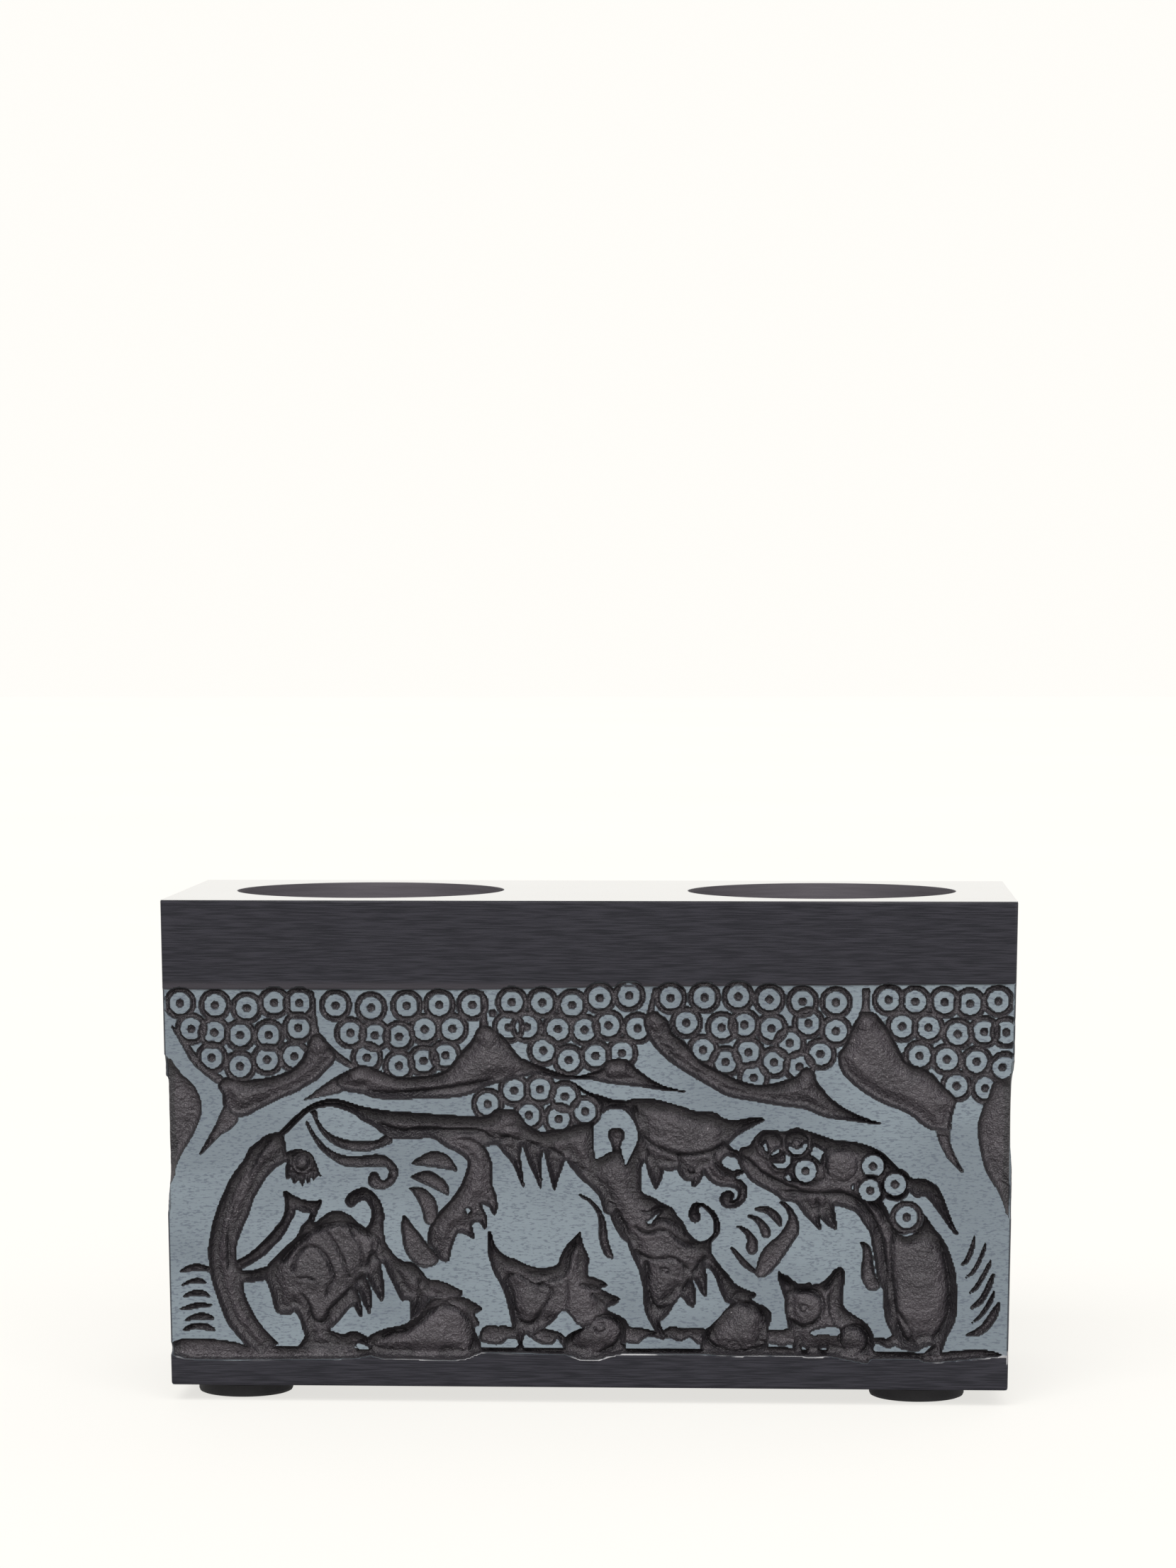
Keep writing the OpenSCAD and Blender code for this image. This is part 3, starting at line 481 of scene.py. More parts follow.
# Small pale shapes left standing at the face's own level.
LONG_ISLANDS = [
    [
        (1.15, 41.5), (1.1, 46.75), (2, 47.9), (3.2, 48.8), (5, 49.3), (6.5, 49.1), (7.6, 48.2), (8.5, 46.5),
        (8.95, 44.8), (8.6, 43.2), (8, 41.8), (7.3, 40.4), (6.75, 39.4), (6.4, 40.6), (6, 41.8), (5.9, 43.3),
        (6.5, 44.5), (6.3, 45.7), (5.1, 46.25), (3.9, 45.8), (3.65, 44.8), (4.3, 43.3), (4.4, 42),
        (3.6, 41.7), (2.5, 41), (1.5, 40.7),
    ],
    [
        (23.9, 40), (24.25, 40.9), (25.25, 41.1), (26.25, 41), (26.75, 40), (27.05, 39), (26, 38.75),
        (25, 39), (24.25, 39.5),
    ],
    [(-21.9, 31.3), (-21.3, 31.9), (-20.7, 31.3), (-21.3, 30.7)],
    [(-41.5, 6.75), (-41, 7.5), (-40, 7.4), (-38.75, 6.6), (-40, 6.4)],
    [(-18.8, 7.9), (-16, 7.4), (-15, 7.7), (-14.4, 8.5), (-12.8, 8.6), (-12.6, 7), (-18.3, 6.9)],
    [
        (-11.3, 9), (-10.2, 8.8), (-9, 8), (-8, 7.6), (-6.8, 7.5), (-6, 7.9), (-5.3, 8.6), (-4.9, 8),
        (-5, 7), (-11.1, 7),
    ],
    [
        (-4, 13.7), (-3, 12.8), (-2, 11.5), (-0.8, 10.6), (-1.5, 10.3), (-3, 9.6), (-3.8, 8.9), (-4.5, 9.3),
        (-5.5, 9.9), (-7, 10.2), (-7.6, 10.5), (-6.5, 11.5), (-5.8, 12.2), (-5, 13.2),
    ],
    [
        (7, 8), (9, 7.8), (10.3, 9), (12, 8.9), (13, 8.4), (14.3, 9), (16, 8.2), (17.6, 8.9), (18.2, 9),
        (19.3, 8), (19.2, 7.6), (6.9, 7.5),
    ],
    [
        (10.3, 29.6), (10.7, 29.1), (11.3, 29.1), (11.7, 29.7), (12.8, 30.8), (12.8, 31.1), (12.2, 30.9),
        (11, 29.9),
    ],
    [
        (39.4, 9.9), (40.2, 9.4), (41.5, 9.7), (44.2, 9.4), (44.8, 10.4), (43.9, 11.1), (42.8, 11.1),
        (40.2, 10.5),
    ],
    [(37.9, 7.6), (38.4, 7.4), (39, 6.9), (37.9, 6.9)],
    [(41.1, 6.9), (41.9, 7.4), (42.5, 6.9)],
    [(51, 8), (52.4, 7.5), (53.5, 7.2), (54.4, 7.8), (55, 7.3), (56.5, 6.7), (51, 6.6)],
    [
        (32.8, 40), (33.4, 39.3), (34.3, 39), (35.3, 39.3), (36, 40.2), (36, 41.1), (35.4, 41.6),
        (34.9, 41.5), (35.1, 40.9), (34.8, 40.2), (34, 40),
    ],
    [(31, 43.2), (31.4, 42.4), (31.9, 42), (31.9, 42.8), (31.6, 43.6)],
    [
        (35.5, 42.8), (36, 41.9), (37.2, 41.5), (38.3, 42), (38.9, 43), (38.9, 43.6), (38.3, 43.6),
        (37.9, 43), (37.2, 42.7), (36.5, 42.8), (35.9, 43.2),
    ],
    [(54.9, 27.6), (56, 27.2), (57.4, 27.4), (58.4, 28), (57, 27.8), (56, 27.7)],
    [(47.2, 36.3), (47.1, 35.3), (46.7, 35.6), (46.9, 36.2)],
    [(32.4, 41.6), (33.4, 42.4), (34.1, 42.8), (33.9, 42), (33.1, 41.5)],
    [(36.1, 36.9), (34.9, 37.2), (34.8, 37.6), (35.6, 38.1), (36.2, 38)],
    [(40.1, 43.1), (41, 42.7), (42, 42), (41.4, 41.3), (41.3, 40), (40.7, 40.7), (39.4, 41.5), (39.7, 42.3)],
]
# The pin-shaped notch in the island under the second elephant's neck.
KEYHOLE = [
    (3.65, 44.8), (3.9, 45.8), (5.1, 46.25), (6.3, 45.7), (6.5, 44.5), (5.9, 43.3), (6, 41.8), (6.4, 40.6),
    (5.6, 40), (4.2, 41), (4.4, 42), (4.3, 43.3),
]
# Round knuckles where the branches end or bend.
KNUCKLE_RADIUS, KNUCKLE_RISE = 2.0, 0.55
KNUCKLES = [
    (-63.5, 53), (-48, 61), (-40.8, 55.8), (-17.8, 62.4), (5, 56.6), (12.3, 65.5), (38.8, 55), (49.1, 65.5),
    (63.4, 50.6), (62.8, 47),
]
# Dark lines cut along the foot of a form: width, depth, then the points.
LONG_CREASES = [
    (0.3, 0.45, [
        (-37.2, 46.5), (-36, 46), (-33, 45.2), (-31, 45.5), (-26, 45.5), (-20, 45.4), (-18.5, 45.2),
        (-17.5, 44.3), (-16, 43.8), (-14.5, 44.3), (-12, 43.6), (-9, 42.7), (-6, 41.8), (-3, 39.8),
        (-1, 38.4),
    ]),
    (0.25, 0.35, [
        (-56.5, 44), (-59, 40.5), (-61, 36), (-63.5, 31), (-64.3, 27), (-64.2, 24), (-64.3, 20.5),
    ]),
    (0.28, 0.4, [
        (-39, 52.4), (-36, 52), (-32, 52.2), (-29, 52.5), (-25, 53), (-22, 53.5), (-19, 54), (-16, 54.3),
        (-13, 55.2),
    ]),
    (0.3, 0.5, [
        (-52.7, 20.2), (-52.3, 22.2), (-51.2, 23.8), (-49.8, 24.6), (-48.2, 24.3), (-46.8, 22.9),
        (-45.9, 21), (-45.3, 18.9), (-46.2, 17.4), (-46.7, 15.9),
    ]),
    (0.28, 0.45, [(-46.8, 27.4), (-45.4, 25.6), (-44.5, 24), (-43.7, 22.3), (-43.2, 20.5), (-42.6, 19.2)]),
    (0.28, 0.4, [(-42.2, 27.4), (-41.2, 25.8), (-40.5, 24), (-40.2, 22.2), (-40.4, 20.9)]),
    (0.35, 0.5, [
        (-51.2, 16), (-50.3, 14.9), (-49.7, 13.4), (-49.5, 12), (-48.6, 11.1), (-47.2, 11.1), (-46.4, 11.9),
        (-46.2, 13), (-44.8, 14.5), (-43, 16.2), (-41.3, 18), (-39.9, 20), (-39.2, 21.6), (-38.4, 23.6),
        (-38.3, 25.3), (-39.2, 27), (-41, 28), (-43.5, 28.6), (-46, 28.5), (-48, 27.8), (-50, 26.6),
        (-52.5, 24.6), (-54.6, 22),
    ]),
    (0.28, 0.4, [(-51.6, 18.9), (-50, 19), (-48.8, 18.6)]),
    (0.25, 0.4, [(-38.2, 26.6), (-37.2, 25.2), (-38.1, 23), (-37, 21.8)]),
    (0.3, 0.45, [(-30, 18.5), (-30.3, 17), (-30, 15.4), (-30.8, 13.2)]),
    (0.3, 0.45, [
        (-36.5, 8.6), (-34.6, 9.6), (-32.3, 9.8), (-30, 11.2), (-28.2, 13), (-26, 14), (-23.6, 13.6),
        (-21.8, 12.2), (-20.8, 10.2), (-20.4, 8), (-21, 6.2),
    ]),
    (0.3, 0.5, [
        (-14.7, 18.5), (-14, 19.6), (-12.8, 19.8), (-11.5, 19.2), (-10.3, 18.3), (-9, 18), (-7.8, 17.9),
        (-6.6, 17.3), (-6.5, 16.3), (-7.5, 14.5), (-8.5, 12.8), (-9.3, 11.6), (-10.5, 11), (-12, 11.3),
        (-12.9, 12.2), (-13.2, 14.2), (-13.7, 16.3), (-14.7, 18.5),
    ]),
    (0.28, 0.4, [(-8.5, 18.1), (-6, 19), (-4.2, 19.9), (-3.5, 21.6), (-3.2, 23.4), (-2.2, 25.4)]),
    (0.28, 0.35, [(-3.6, 18.6), (-3.6, 15.6), (-3.9, 14)]),
    (0.28, 0.4, [(-1.2, 18), (0.6, 17.6), (2.6, 17.3)]),
    (0.28, 0.4, [(0.8, 16.2), (2.2, 15), (3.2, 14.1)]),
    (0.3, 0.5, [
        (-3.5, 8), (-2.5, 9.5), (-1, 10.4), (0.5, 11), (1.5, 12), (3, 12.4), (4.5, 12.2), (5.8, 11),
        (6.1, 9.6), (5.5, 8.3), (4.5, 7), (3, 6.2), (1, 5.6),
    ]),
    (0.25, 0.4, [(1.4, 11.1), (2.8, 11.1), (3, 10), (1.8, 9.6), (1.2, 10.5)]),
    (0.35, 0.6, [
        (8.3, 49.6), (8.5, 47.8), (9, 46), (9.7, 44.4), (11, 43.3), (12.6, 42.5), (15, 41.5), (17.5, 41.2),
        (20.25, 41.5), (22.4, 42), (24.2, 43.2),
    ]),
    (0.28, 0.45, [(22.3, 41.3), (22.6, 39.8), (23.3, 38.7), (24.3, 38), (25.3, 37.6), (26.1, 37.4)]),
    (0.28, 0.4, [(10.3, 43), (10.6, 41.2), (10.7, 39.4)]),
    (0.28, 0.35, [(16.2, 41.2), (16.6, 39.2), (17.5, 37.6)]),
    (0.3, 0.5, [(9.6, 31.2), (10.8, 30.9), (12.4, 31.6), (14.6, 31.9)]),
    (0.3, 0.5, [
        (8.5, 28.4), (9.8, 27.3), (11.5, 27.4), (13, 27.8), (14.2, 27.6), (15.3, 26.7), (16.5, 25.8),
        (18.2, 25.2), (19.8, 25.6),
    ]),
    (0.3, 0.45, [(8.4, 23.9), (10, 23), (12, 22.6), (15, 22.9), (16.6, 22), (17.4, 21)]),
    (0.3, 0.5, [
        (10.4, 22), (10.6, 18.4), (10.9, 16), (11.6, 14.5), (12.7, 13.8), (14, 14), (15.4, 15.2), (17, 17.2),
        (18.5, 19.8), (19.8, 21.6), (20.8, 23),
    ]),
    (0.28, 0.4, [(10.9, 28.9), (12, 29.5), (13.5, 29.7), (15, 29.3), (16.5, 28.3), (17.4, 27)]),
    (0.3, 0.45, [(5, 31), (6.2, 29), (7, 27), (7.6, 25.6)]),
    (0.3, 0.5, [
        (21, 8.5), (21.3, 9.5), (21.8, 10.6), (23, 12), (24.4, 13.5), (26, 14.4), (28, 14.8), (29.7, 14.4),
        (31, 13), (31.6, 11), (31.7, 9), (31.3, 7.6), (30.3, 6.8), (28, 6.4), (25.5, 6.3), (23.5, 6.6),
        (22, 7.4), (21, 8.5),
    ]),
    (0.28, 0.35, [(26.5, 16.6), (25.6, 15.6), (27, 15.2)]),
    (0.3, 0.5, [
        (35.2, 16.5), (36.5, 17.2), (38.5, 17.3), (40.4, 17), (41.5, 15.8), (41.8, 14.3), (41.3, 12.8),
        (40.2, 11.5), (38.6, 10.8), (37, 11), (35.7, 12),
    ]),
    (0.22, 0.35, [(37.3, 14.2), (38.2, 14.8), (39.1, 14.2), (38.2, 13.3), (37.3, 14.2)]),
    (0.22, 0.35, [(12.8, 20.9), (13.6, 21.1), (14.4, 20.6), (13.6, 20.1), (12.8, 20.9)]),
    (0.28, 0.4, [(34.5, 19.6), (35.4, 18.6), (36.6, 17.8)]),
    (0.28, 0.45, [(42.1, 17.6), (43.2, 19), (44, 20.4)]),
    (0.28, 0.4, [(42.9, 16.4), (43, 14), (43.8, 11.4)]),
    (0.3, 0.5, [
        (44.6, 8.3), (44.7, 9.6), (45.6, 10.6), (47, 11), (48.6, 10.6), (49.6, 9.4), (49.8, 8), (49.2, 6.7),
        (48, 5.9),
    ]),
    (0.3, 0.45, [(27.2, 41), (28.6, 40.2), (30.4, 38.6), (32.4, 37.2), (34.6, 36.2), (37, 35.4)]),
    (0.35, 0.5, [(36, 36.9), (39, 36.6), (41.6, 36.9), (42.2, 38.6), (42, 40.6), (42.6, 42.4)]),
    (0.35, 0.5, [
        (36, 34.8), (39, 34.6), (42, 34.4), (44.6, 34.6), (47, 33.8), (49, 32.2), (50.6, 30), (51.6, 27.6),
    ]),
    (0.35, 0.5, [(48, 36.5), (50, 33.4), (51.8, 32), (52.8, 30), (54, 28.3)]),
    (0.3, 0.45, [(40.6, 33.5), (40.8, 31.6), (41.2, 30.4)]),
    (0.35, 0.55, [
        (54.4, 28), (54, 25), (53.8, 21), (54.1, 17), (54.6, 13), (55.4, 10), (56.6, 8.2), (58, 7.4),
    ]),
    (0.3, 0.45, [(52, 27), (52.4, 24), (53, 20), (53.4, 16), (54, 12.4)]),
    (0.3, 0.4, [(55.2, 13.2), (56.2, 11.6), (57.4, 10), (57.2, 8.6)]),
    (0.35, 0.45, [
        (62.4, 26.2), (63.2, 23.6), (63.9, 20), (64.2, 16.4), (63.9, 13), (62.6, 10.4), (61, 8.2),
    ]),
]
# Upper edge of the bottom band.
FOOT_LINE = [
    (-75, 6), (-74, 5.2), (-72.5, 4.7), (-60, 4.5), (-50, 4.7), (-42, 4.8), (-38.5, 5.4), (-37, 5),
    (-24, 4.7), (-21, 5.2), (-19.5, 6.1), (-4.2, 5.8), (-1.5, 5), (2.3, 5), (5.5, 6), (20, 6), (36, 5.9),
    (42, 5.9), (46, 5.2), (49.5, 4.6), (50.5, 5.4), (58, 5.4), (60.2, 4.8), (66, 5.3), (73, 6), (76, 6),
]
# The strip of ground between the foot line and its own uneven top.
GROUND = FOOT_LINE[2:-1] + GROUND_TOP
# Round forms left standing in a recess: centre, radius, how much they rise.
LONG_BOSSES = [
    (-50.9, 39.6, 1.3, 0.9), (18.3, 38.6, 1.7, 0.4), (18.4, 38.6, 0.6, 0.8), (-14, 47.8, 1.5, 0.5),
    (-49, 20, 3.2, 0.5), (38.4, 14.2, 3, 0.6), (47.2, 8.3, 2.3, 0.7), (26.5, 10.5, 4.2, 0.7),
    (13, 18, 2.4, 0.5), (59, 16, 4.6, 0.6), (59, 22, 4.2, 0.5), (-10.8, 15, 2.6, 0.6), (1.2, 8.8, 2.8, 0.6),
    (-29, 8.8, 4, 0.6), (45, 39.6, 2.8, 0.8), (37, 43.5, 0.8, 0.6), (5.1, 44.9, 0.6, 0.3), (16, 46, 4, 0.4),
]

# Rounded rings left standing in a recess: centre, radius.
LONG_RIMS = [(32.4, 43.3, 2.4), (37, 43.4, 2.4), (34, 40.6, 2), (-50.9, 39.6, 1.7)]
# How the long faces are cut: outlines, depth, width of the sloping wall, how much the floor rises again.
LONG_CUTS = [
    (THORNS, 0.9, 0.9, 0),
    (CANOPY_GROOVES, 0.8, 0.5, 0),
    (BRANCHES, 1.9, 1.0, 0.9),
    ([EDGE_LEFT, EDGE_RIGHT], 1.6, 1.6, 0.3),
    ([FIRST_BACK, SECOND_HEAD, SECOND_BODY, SECOND_FRONT, NECK], 2.3, 1.5, 0.8),
    ([FIRST_TRUNK, FIRST_CALF, FIRST_HARE, FOX, CAT], 2.2, 1.4, 0.9),
    ([FIRST_EAR, FIRST_TUSK, FIRST_EYE, FIRST_HARE_EAR, SECOND_CURL], 1.9, 0.9, 0.8),
    (CATERPILLARS + [GROUND], 1.3, 0.8, 0),
    (STROKES, 1.2, 1.0, 0),
]

# Short faces: a tree between two calves under two canopies. Nothing shows them, so they are invented.
SHORT_RINGS = [
    (-26.4, 68.3), (-21.2, 68.1), (-15.9, 68.4), (-10.6, 68), (-5.3, 68.3),
    (-24.2, 63.6), (-19.2, 63.2), (-14.2, 63.7), (-9.3, 63.3), (-21.4, 58.6), (-16.5, 58.3), (-11.6, 59),
    (4.9, 68.2), (10.2, 68.4), (15.5, 68), (20.9, 68.3), (26.3, 68.1),
    (8.8, 63.5), (13.8, 63.1), (18.8, 63.6), (23.8, 63.3), (11, 58.8), (15.9, 58.3), (20.8, 58.7),
]
SHORT_REGIONS = [
    [
        (-24.5, 52.2), (-22, 53.6), (-18, 54.8), (-13, 55), (-8.5, 55.4), (-5, 57), (-3.2, 60), (-2, 64),
        (-0.6, 66), (0.8, 66), (2, 64), (3.2, 60), (5.2, 57), (9, 55.2), (14, 54.8), (19, 54.4), (24.6, 52),
        (20, 51.6), (14, 51.4), (9, 50.8), (5, 48.6), (3.2, 45), (2.6, 38), (3, 30), (4.2, 20), (6, 12),
        (8.6, 7.6), (11, 5.8), (4, 5.6), (-4, 5.6), (-10.6, 5.8), (-8, 8), (-5.6, 12.6), (-4, 20), (-3, 30),
        (-2.8, 38), (-3.6, 45), (-5.4, 48.8), (-9.6, 50.8), (-15, 51.2), (-20, 51.2),
    ],
]
CALF = [
    (-26.4, 15), (-25.8, 19), (-24.4, 22), (-22, 23.8), (-19.4, 24.4), (-17, 24), (-15.4, 24.8),
    (-13.6, 25.2), (-11.8, 24.6), (-10.4, 23), (-9.6, 20.6), (-9.2, 18), (-8.4, 15.6), (-7.4, 14.4),
    (-7.6, 13.6), (-9, 13.6), (-10.2, 14.8), (-10.9, 16.4), (-11.4, 14), (-11.6, 11), (-11.6, 7),
    (-11.8, 5.8), (-14.6, 5.8), (-14.6, 8), (-14.9, 11), (-16.6, 12.2), (-19, 12.2), (-20.4, 10.8),
    (-20.6, 8), (-20.6, 5.8), (-23.6, 5.8), (-23.6, 9), (-24.2, 12), (-25.2, 13), (-26.8, 11.6),
    (-27.4, 12.4),
]
CALF_EAR = [
    (-18, 22), (-16.6, 22.8), (-15, 22.2), (-14.4, 20), (-15, 17.6), (-16.6, 16.6), (-17.8, 18), (-18.4, 20),
]
SHORT_STROKES = [
    [(-26, 46), (-22, 45), (-18, 42), (-15.6, 38), (-16.6, 37.6), (-19.4, 40.4), (-22.6, 43), (-26, 44.6)],
    [
        (-25, 39), (-21.6, 37.6), (-18.6, 34.4), (-17, 31), (-18, 30.8), (-20.4, 33.4), (-22.8, 36),
        (-25.2, 37.8),
    ],
    [
        (-13, 46.6), (-10.4, 44), (-9, 40.6), (-8.6, 36.6), (-9.6, 36.6), (-10.8, 40), (-12.2, 43),
        (-13.8, 45.6),
    ],
    [(-13.6, 33.4), (-11, 31.6), (-9.4, 29), (-9, 27), (-10, 27.2), (-11.6, 29.4), (-13.4, 31.8)],
]
SHORT_EYES = [(-13, 21.6), (13, 21.6)]
SHORT_FOOT_LINE = [(-40, 5.2), (40, 5.4)]
BARK_CREASES = [
    (0.35, 0.5, [(-1.2, 52), (-1.6, 44), (-0.8, 34), (-1.4, 22), (-3, 10)]),
    (0.3, 0.4, [(1.4, 50), (1, 40), (1.6, 28), (3, 14)]),
]
EDGE_CUTS_FROM = 75                              # the long faces' edge cuts are drawn for an edge here


def mirrored(points):
    return [(-x, z) for x, z in points]


# ---------------------------------------------------------------------------
# Height field: how deep each point of a face is carved, in mm.
# ---------------------------------------------------------------------------


def smoothstep(low, high, value):
    t = np.clip((value - low) / (high - low), 0, 1)
    return t * t * (3 - 2 * t)


def smooth_loop(points, closed=True):
    """Catmull-Rom curve through the points, as straight pieces."""
    p = np.array(points, float)
    if closed:
        a, b, c, d = np.roll(p, 1, 0), p, np.roll(p, -1, 0), np.roll(p, -2, 0)
    else:
        q = np.vstack([p[:1], p, p[-1:]])
        a, b, c, d = q[:-3], q[1:-2], q[2:-1], q[3:]
    out = []
    for k in range(CURVE_PARTS):
        t = k / CURVE_PARTS
        bend = (2 * a - 5 * b + 4 * c - d) * t**2
        twist = (3 * b - a - 3 * c + d) * t**3
        out.append(0.5 * (2 * b + (c - a) * t + bend + twist))
    curve = np.stack(out, 1).reshape(-1, 2)
    return curve if closed else np.vstack([curve, p[-1:]])


def line_distance(gx, gz, curve, closed):
    """Distance to a curve, and whether each point is inside it."""
    ends = np.roll(curve, -1, 0) if closed else curve[1:]
    best = np.full(gx.shape, 1e9)
    inside = np.zeros(gx.shape, bool)
    for (ax, az), (bx, bz) in zip(curve, ends):
        ex, ez = bx - ax, bz - az
        wx, wz = gx - ax, gz - az
        t = np.clip((wx * ex + wz * ez) / max(ex * ex + ez * ez, 1e-9), 0, 1)
        best = np.minimum(best, (wx - t * ex) ** 2 + (wz - t * ez) ** 2)
        if closed and az != bz:
            crosses = ((az > gz) != (bz > gz)) & (gx < ax + (gz - az) * ex / ez)
            inside ^= crosses
    return np.sqrt(best), inside


def value_noise(shape, cell, seed):
    """Smooth random bumps between -1 and 1, cell grid points apart."""
    rng = np.random.default_rng(seed)
    rows, cols = (int(n / cell) + 3 for n in shape)
    coarse = rng.uniform(-1, 1, (rows, cols))
    r, c = np.arange(shape[0]) / cell, np.arange(shape[1]) / cell
    r0, c0 = r.astype(int), c.astype(int)
    fr, fc = smoothstep(0, 1, r - r0)[:, None], smoothstep(0, 1, c - c0)[None, :]
    a, b = coarse[r0][:, c0], coarse[r0][:, c0 + 1]
    d, e = coarse[r0 + 1][:, c0], coarse[r0 + 1][:, c0 + 1]
    return (a * (1 - fc) + b * fc) * (1 - fr) + (d * (1 - fc) + e * fc) * fr


class Face:
    """One side of the block, as a grid of carving depths. All its numbers are in mm."""

    MARGIN = 1.8                 # how far round an outline its slopes may reach
    RISE_OVER = 2.2              # a recessed floor rises over this width
    RING_INNER, RING_OUTER, RING_DEEP = 1.98, 2.92, 0.78
    STAND = 0.3                  # width of the slope round a ring that stands in a recess
    DIMPLE_RADIUS, DIMPLE_DEEP = 0.72, 0.75
    RIM_HIGH, RIM_HALF = 0.6, 0.35
    SCALLOP_PITCH, SCALLOP_DEEP = 1.15, 0.09
    LUMP_SIZE, LUMP_DEEP = 1.6, 0.14

    def __init__(self, half_widths, rows):
        middle = (half_widths[0] + half_widths[-1]) / 2
        columns = int(round(2 * middle / STEP)) + 1
        self.u = np.linspace(-middle, middle, columns)
        self.z = rows
        self.x = self.u[None, :] * (half_widths / middle)[:, None]
        self.depth = np.zeros((len(rows), columns))

    def patch(self, points):
        """Slices of the grid around the points, and its x and z there."""
        p = np.array(points, float)
        low, high = p.min(0) - self.MARGIN, p.max(0) + self.MARGIN
        cols = slice(*np.searchsorted(self.u, (low[0], high[0])))
        rows = slice(*np.searchsorted(self.z, (low[1], high[1])))
        gx = self.x[rows, cols]
        return (rows, cols), gx, np.broadcast_to(self.z[rows, None], gx.shape)

    def recess(self, points, deep, wall, rise=0.0):
        """Cuts an outline: a steep gouged wall, then a floor that rises again by rise."""
        where, gx, gz = self.patch(points)
        if gx.size == 0:
            return
        distance, inside = line_distance(gx, gz, smooth_loop(points), True)
        reach = np.where(inside, distance, 0)
        bowl = np.sqrt(1 - (1 - np.clip(reach / wall, 0, 1)) ** 2)
        foot = wall * 0.8
        cut = deep * bowl - rise * smoothstep(foot, foot + self.RISE_OVER, reach)
        self.depth[where] = np.maximum(self.depth[where], cut)

    def island(self, points, wall):
        """Leaves an outline standing at the face's own level."""
        where, gx, gz = self.patch(points)
        distance, inside = line_distance(gx, gz, smooth_loop(points), True)
        outside = np.where(inside, 0, distance)
        limit = ISLAND_FOOT * np.sqrt(np.clip(outside / wall, 0, 1))
        limit = np.where(outside < wall, limit, NO_LIMIT)
        self.depth[where] = np.minimum(self.depth[where], limit)

    def ring(self, x, z, stands=False):
        """A round groove. One that stands first gets ground to be cut in."""
        where, gx, gz = self.patch([(x - 4, z - 4), (x + 4, z + 4)])
        r = np.hypot(gx - x, gz - z)
        inner, outer = self.RING_INNER, self.RING_OUTER
        if stands:
            limit = np.where(r < inner, 0, ISLAND_FOOT * np.clip((r - inner) / self.STAND, 0, 1))
            limit = np.where(r < inner + self.STAND, limit, NO_LIMIT)
            self.depth[where] = np.minimum(self.depth[where], limit)
        middle, half = (inner + outer) / 2, (outer - inner) / 2
        groove = self.RING_DEEP * np.clip(1 - ((r - middle) / half) ** 2, 0, 1) ** 0.6
        self.depth[where] = np.maximum(self.depth[where], groove)

    def dimple(self, x, z):
        where, gx, gz = self.patch([(x - 2, z - 2), (x + 2, z + 2)])
        r = np.hypot(gx - x, gz - z)
        pit = self.DIMPLE_DEEP * np.sqrt(np.clip(1 - (r / self.DIMPLE_RADIUS) ** 2, 0, 1))
        self.depth[where] = np.maximum(self.depth[where], pit)

    def crease(self, width, deep, points):
        """A fine groove with a low lip on both sides, cut only where the stone is already carved."""
        where, gx, gz = self.patch(points)
        distance, _ = line_distance(gx, gz, smooth_loop(points, False), False)
        carved = smoothstep(0.3, 0.8, self.depth[where])
        lip = 0.35 * deep * np.exp(-(((distance - 2.6 * width) / (1.6 * width)) ** 2))
        self.depth[where] += carved * (deep * np.exp(-((distance / width) ** 2)) - lip)

    def boss(self, x, z, radius, rise):
        """A domed form left standing in a recess."""
        where, gx, gz = self.patch([(x - radius, z - radius), (x + radius, z + radius)])
        r = np.hypot(gx - x, gz - z) / radius
        carved = smoothstep(0.3, 0.8, self.depth[where])
        self.depth[where] -= carved * rise * np.sqrt(np.clip(1 - r**2, 0, 1))

    def rim(self, x, z, radius):
        """A rounded ring left standing in a recess."""
        where, gx, gz = self.patch([(x - radius, z - radius), (x + radius, z + radius)])
        r = np.hypot(gx - x, gz - z)
        carved = smoothstep(0.5, 1.0, self.depth[where])
        self.depth[where] -= carved * self.RIM_HIGH * np.exp(-(((r - radius) / self.RIM_HALF) ** 2))

    def chisel(self, seed):
        """Gouge marks on the recessed floors."""
        carved = smoothstep(0.35, 1.0, self.depth)
        grid_x, grid_z = self.x, self.z[:, None]
        warp = value_noise(self.depth.shape, 2.6 / STEP, seed)
        patchy = smoothstep(-0.1, 0.7, value_noise(self.depth.shape, 5 / STEP, seed + 1))
        across = grid_z * 0.9 + grid_x * 0.25 + 1.3 * warp
        scallops = np.sin(2 * math.pi * across / self.SCALLOP_PITCH)
        lumps = value_noise(self.depth.shape, self.LUMP_SIZE / STEP, seed + 2)
        self.depth += carved * (self.SCALLOP_DEEP * patchy * scallops + self.LUMP_DEEP * lumps)
        self.depth = np.maximum(self.depth, 0)

    def bands(self, foot_line, even=0.0):
        """Sinks the panel below the two bands. It comes up again within even mm of the upright edges."""
        top_line = np.interp(self.x, *zip(*BAND_TOP_LINE))
        foot = np.interp(self.x, *zip(*foot_line))
        height = self.z[:, None]
        below = smoothstep(0.35, -0.15, height - top_line)
        above = smoothstep(-0.15, 0.15, height - foot)
        self.depth *= smoothstep(1.3, 0.5, height - top_line)
        from_edge = smoothstep(-0.01, even, self.x[:, -1:] - np.abs(self.x))
        self.depth += PANEL_SINK * below * above * from_edge


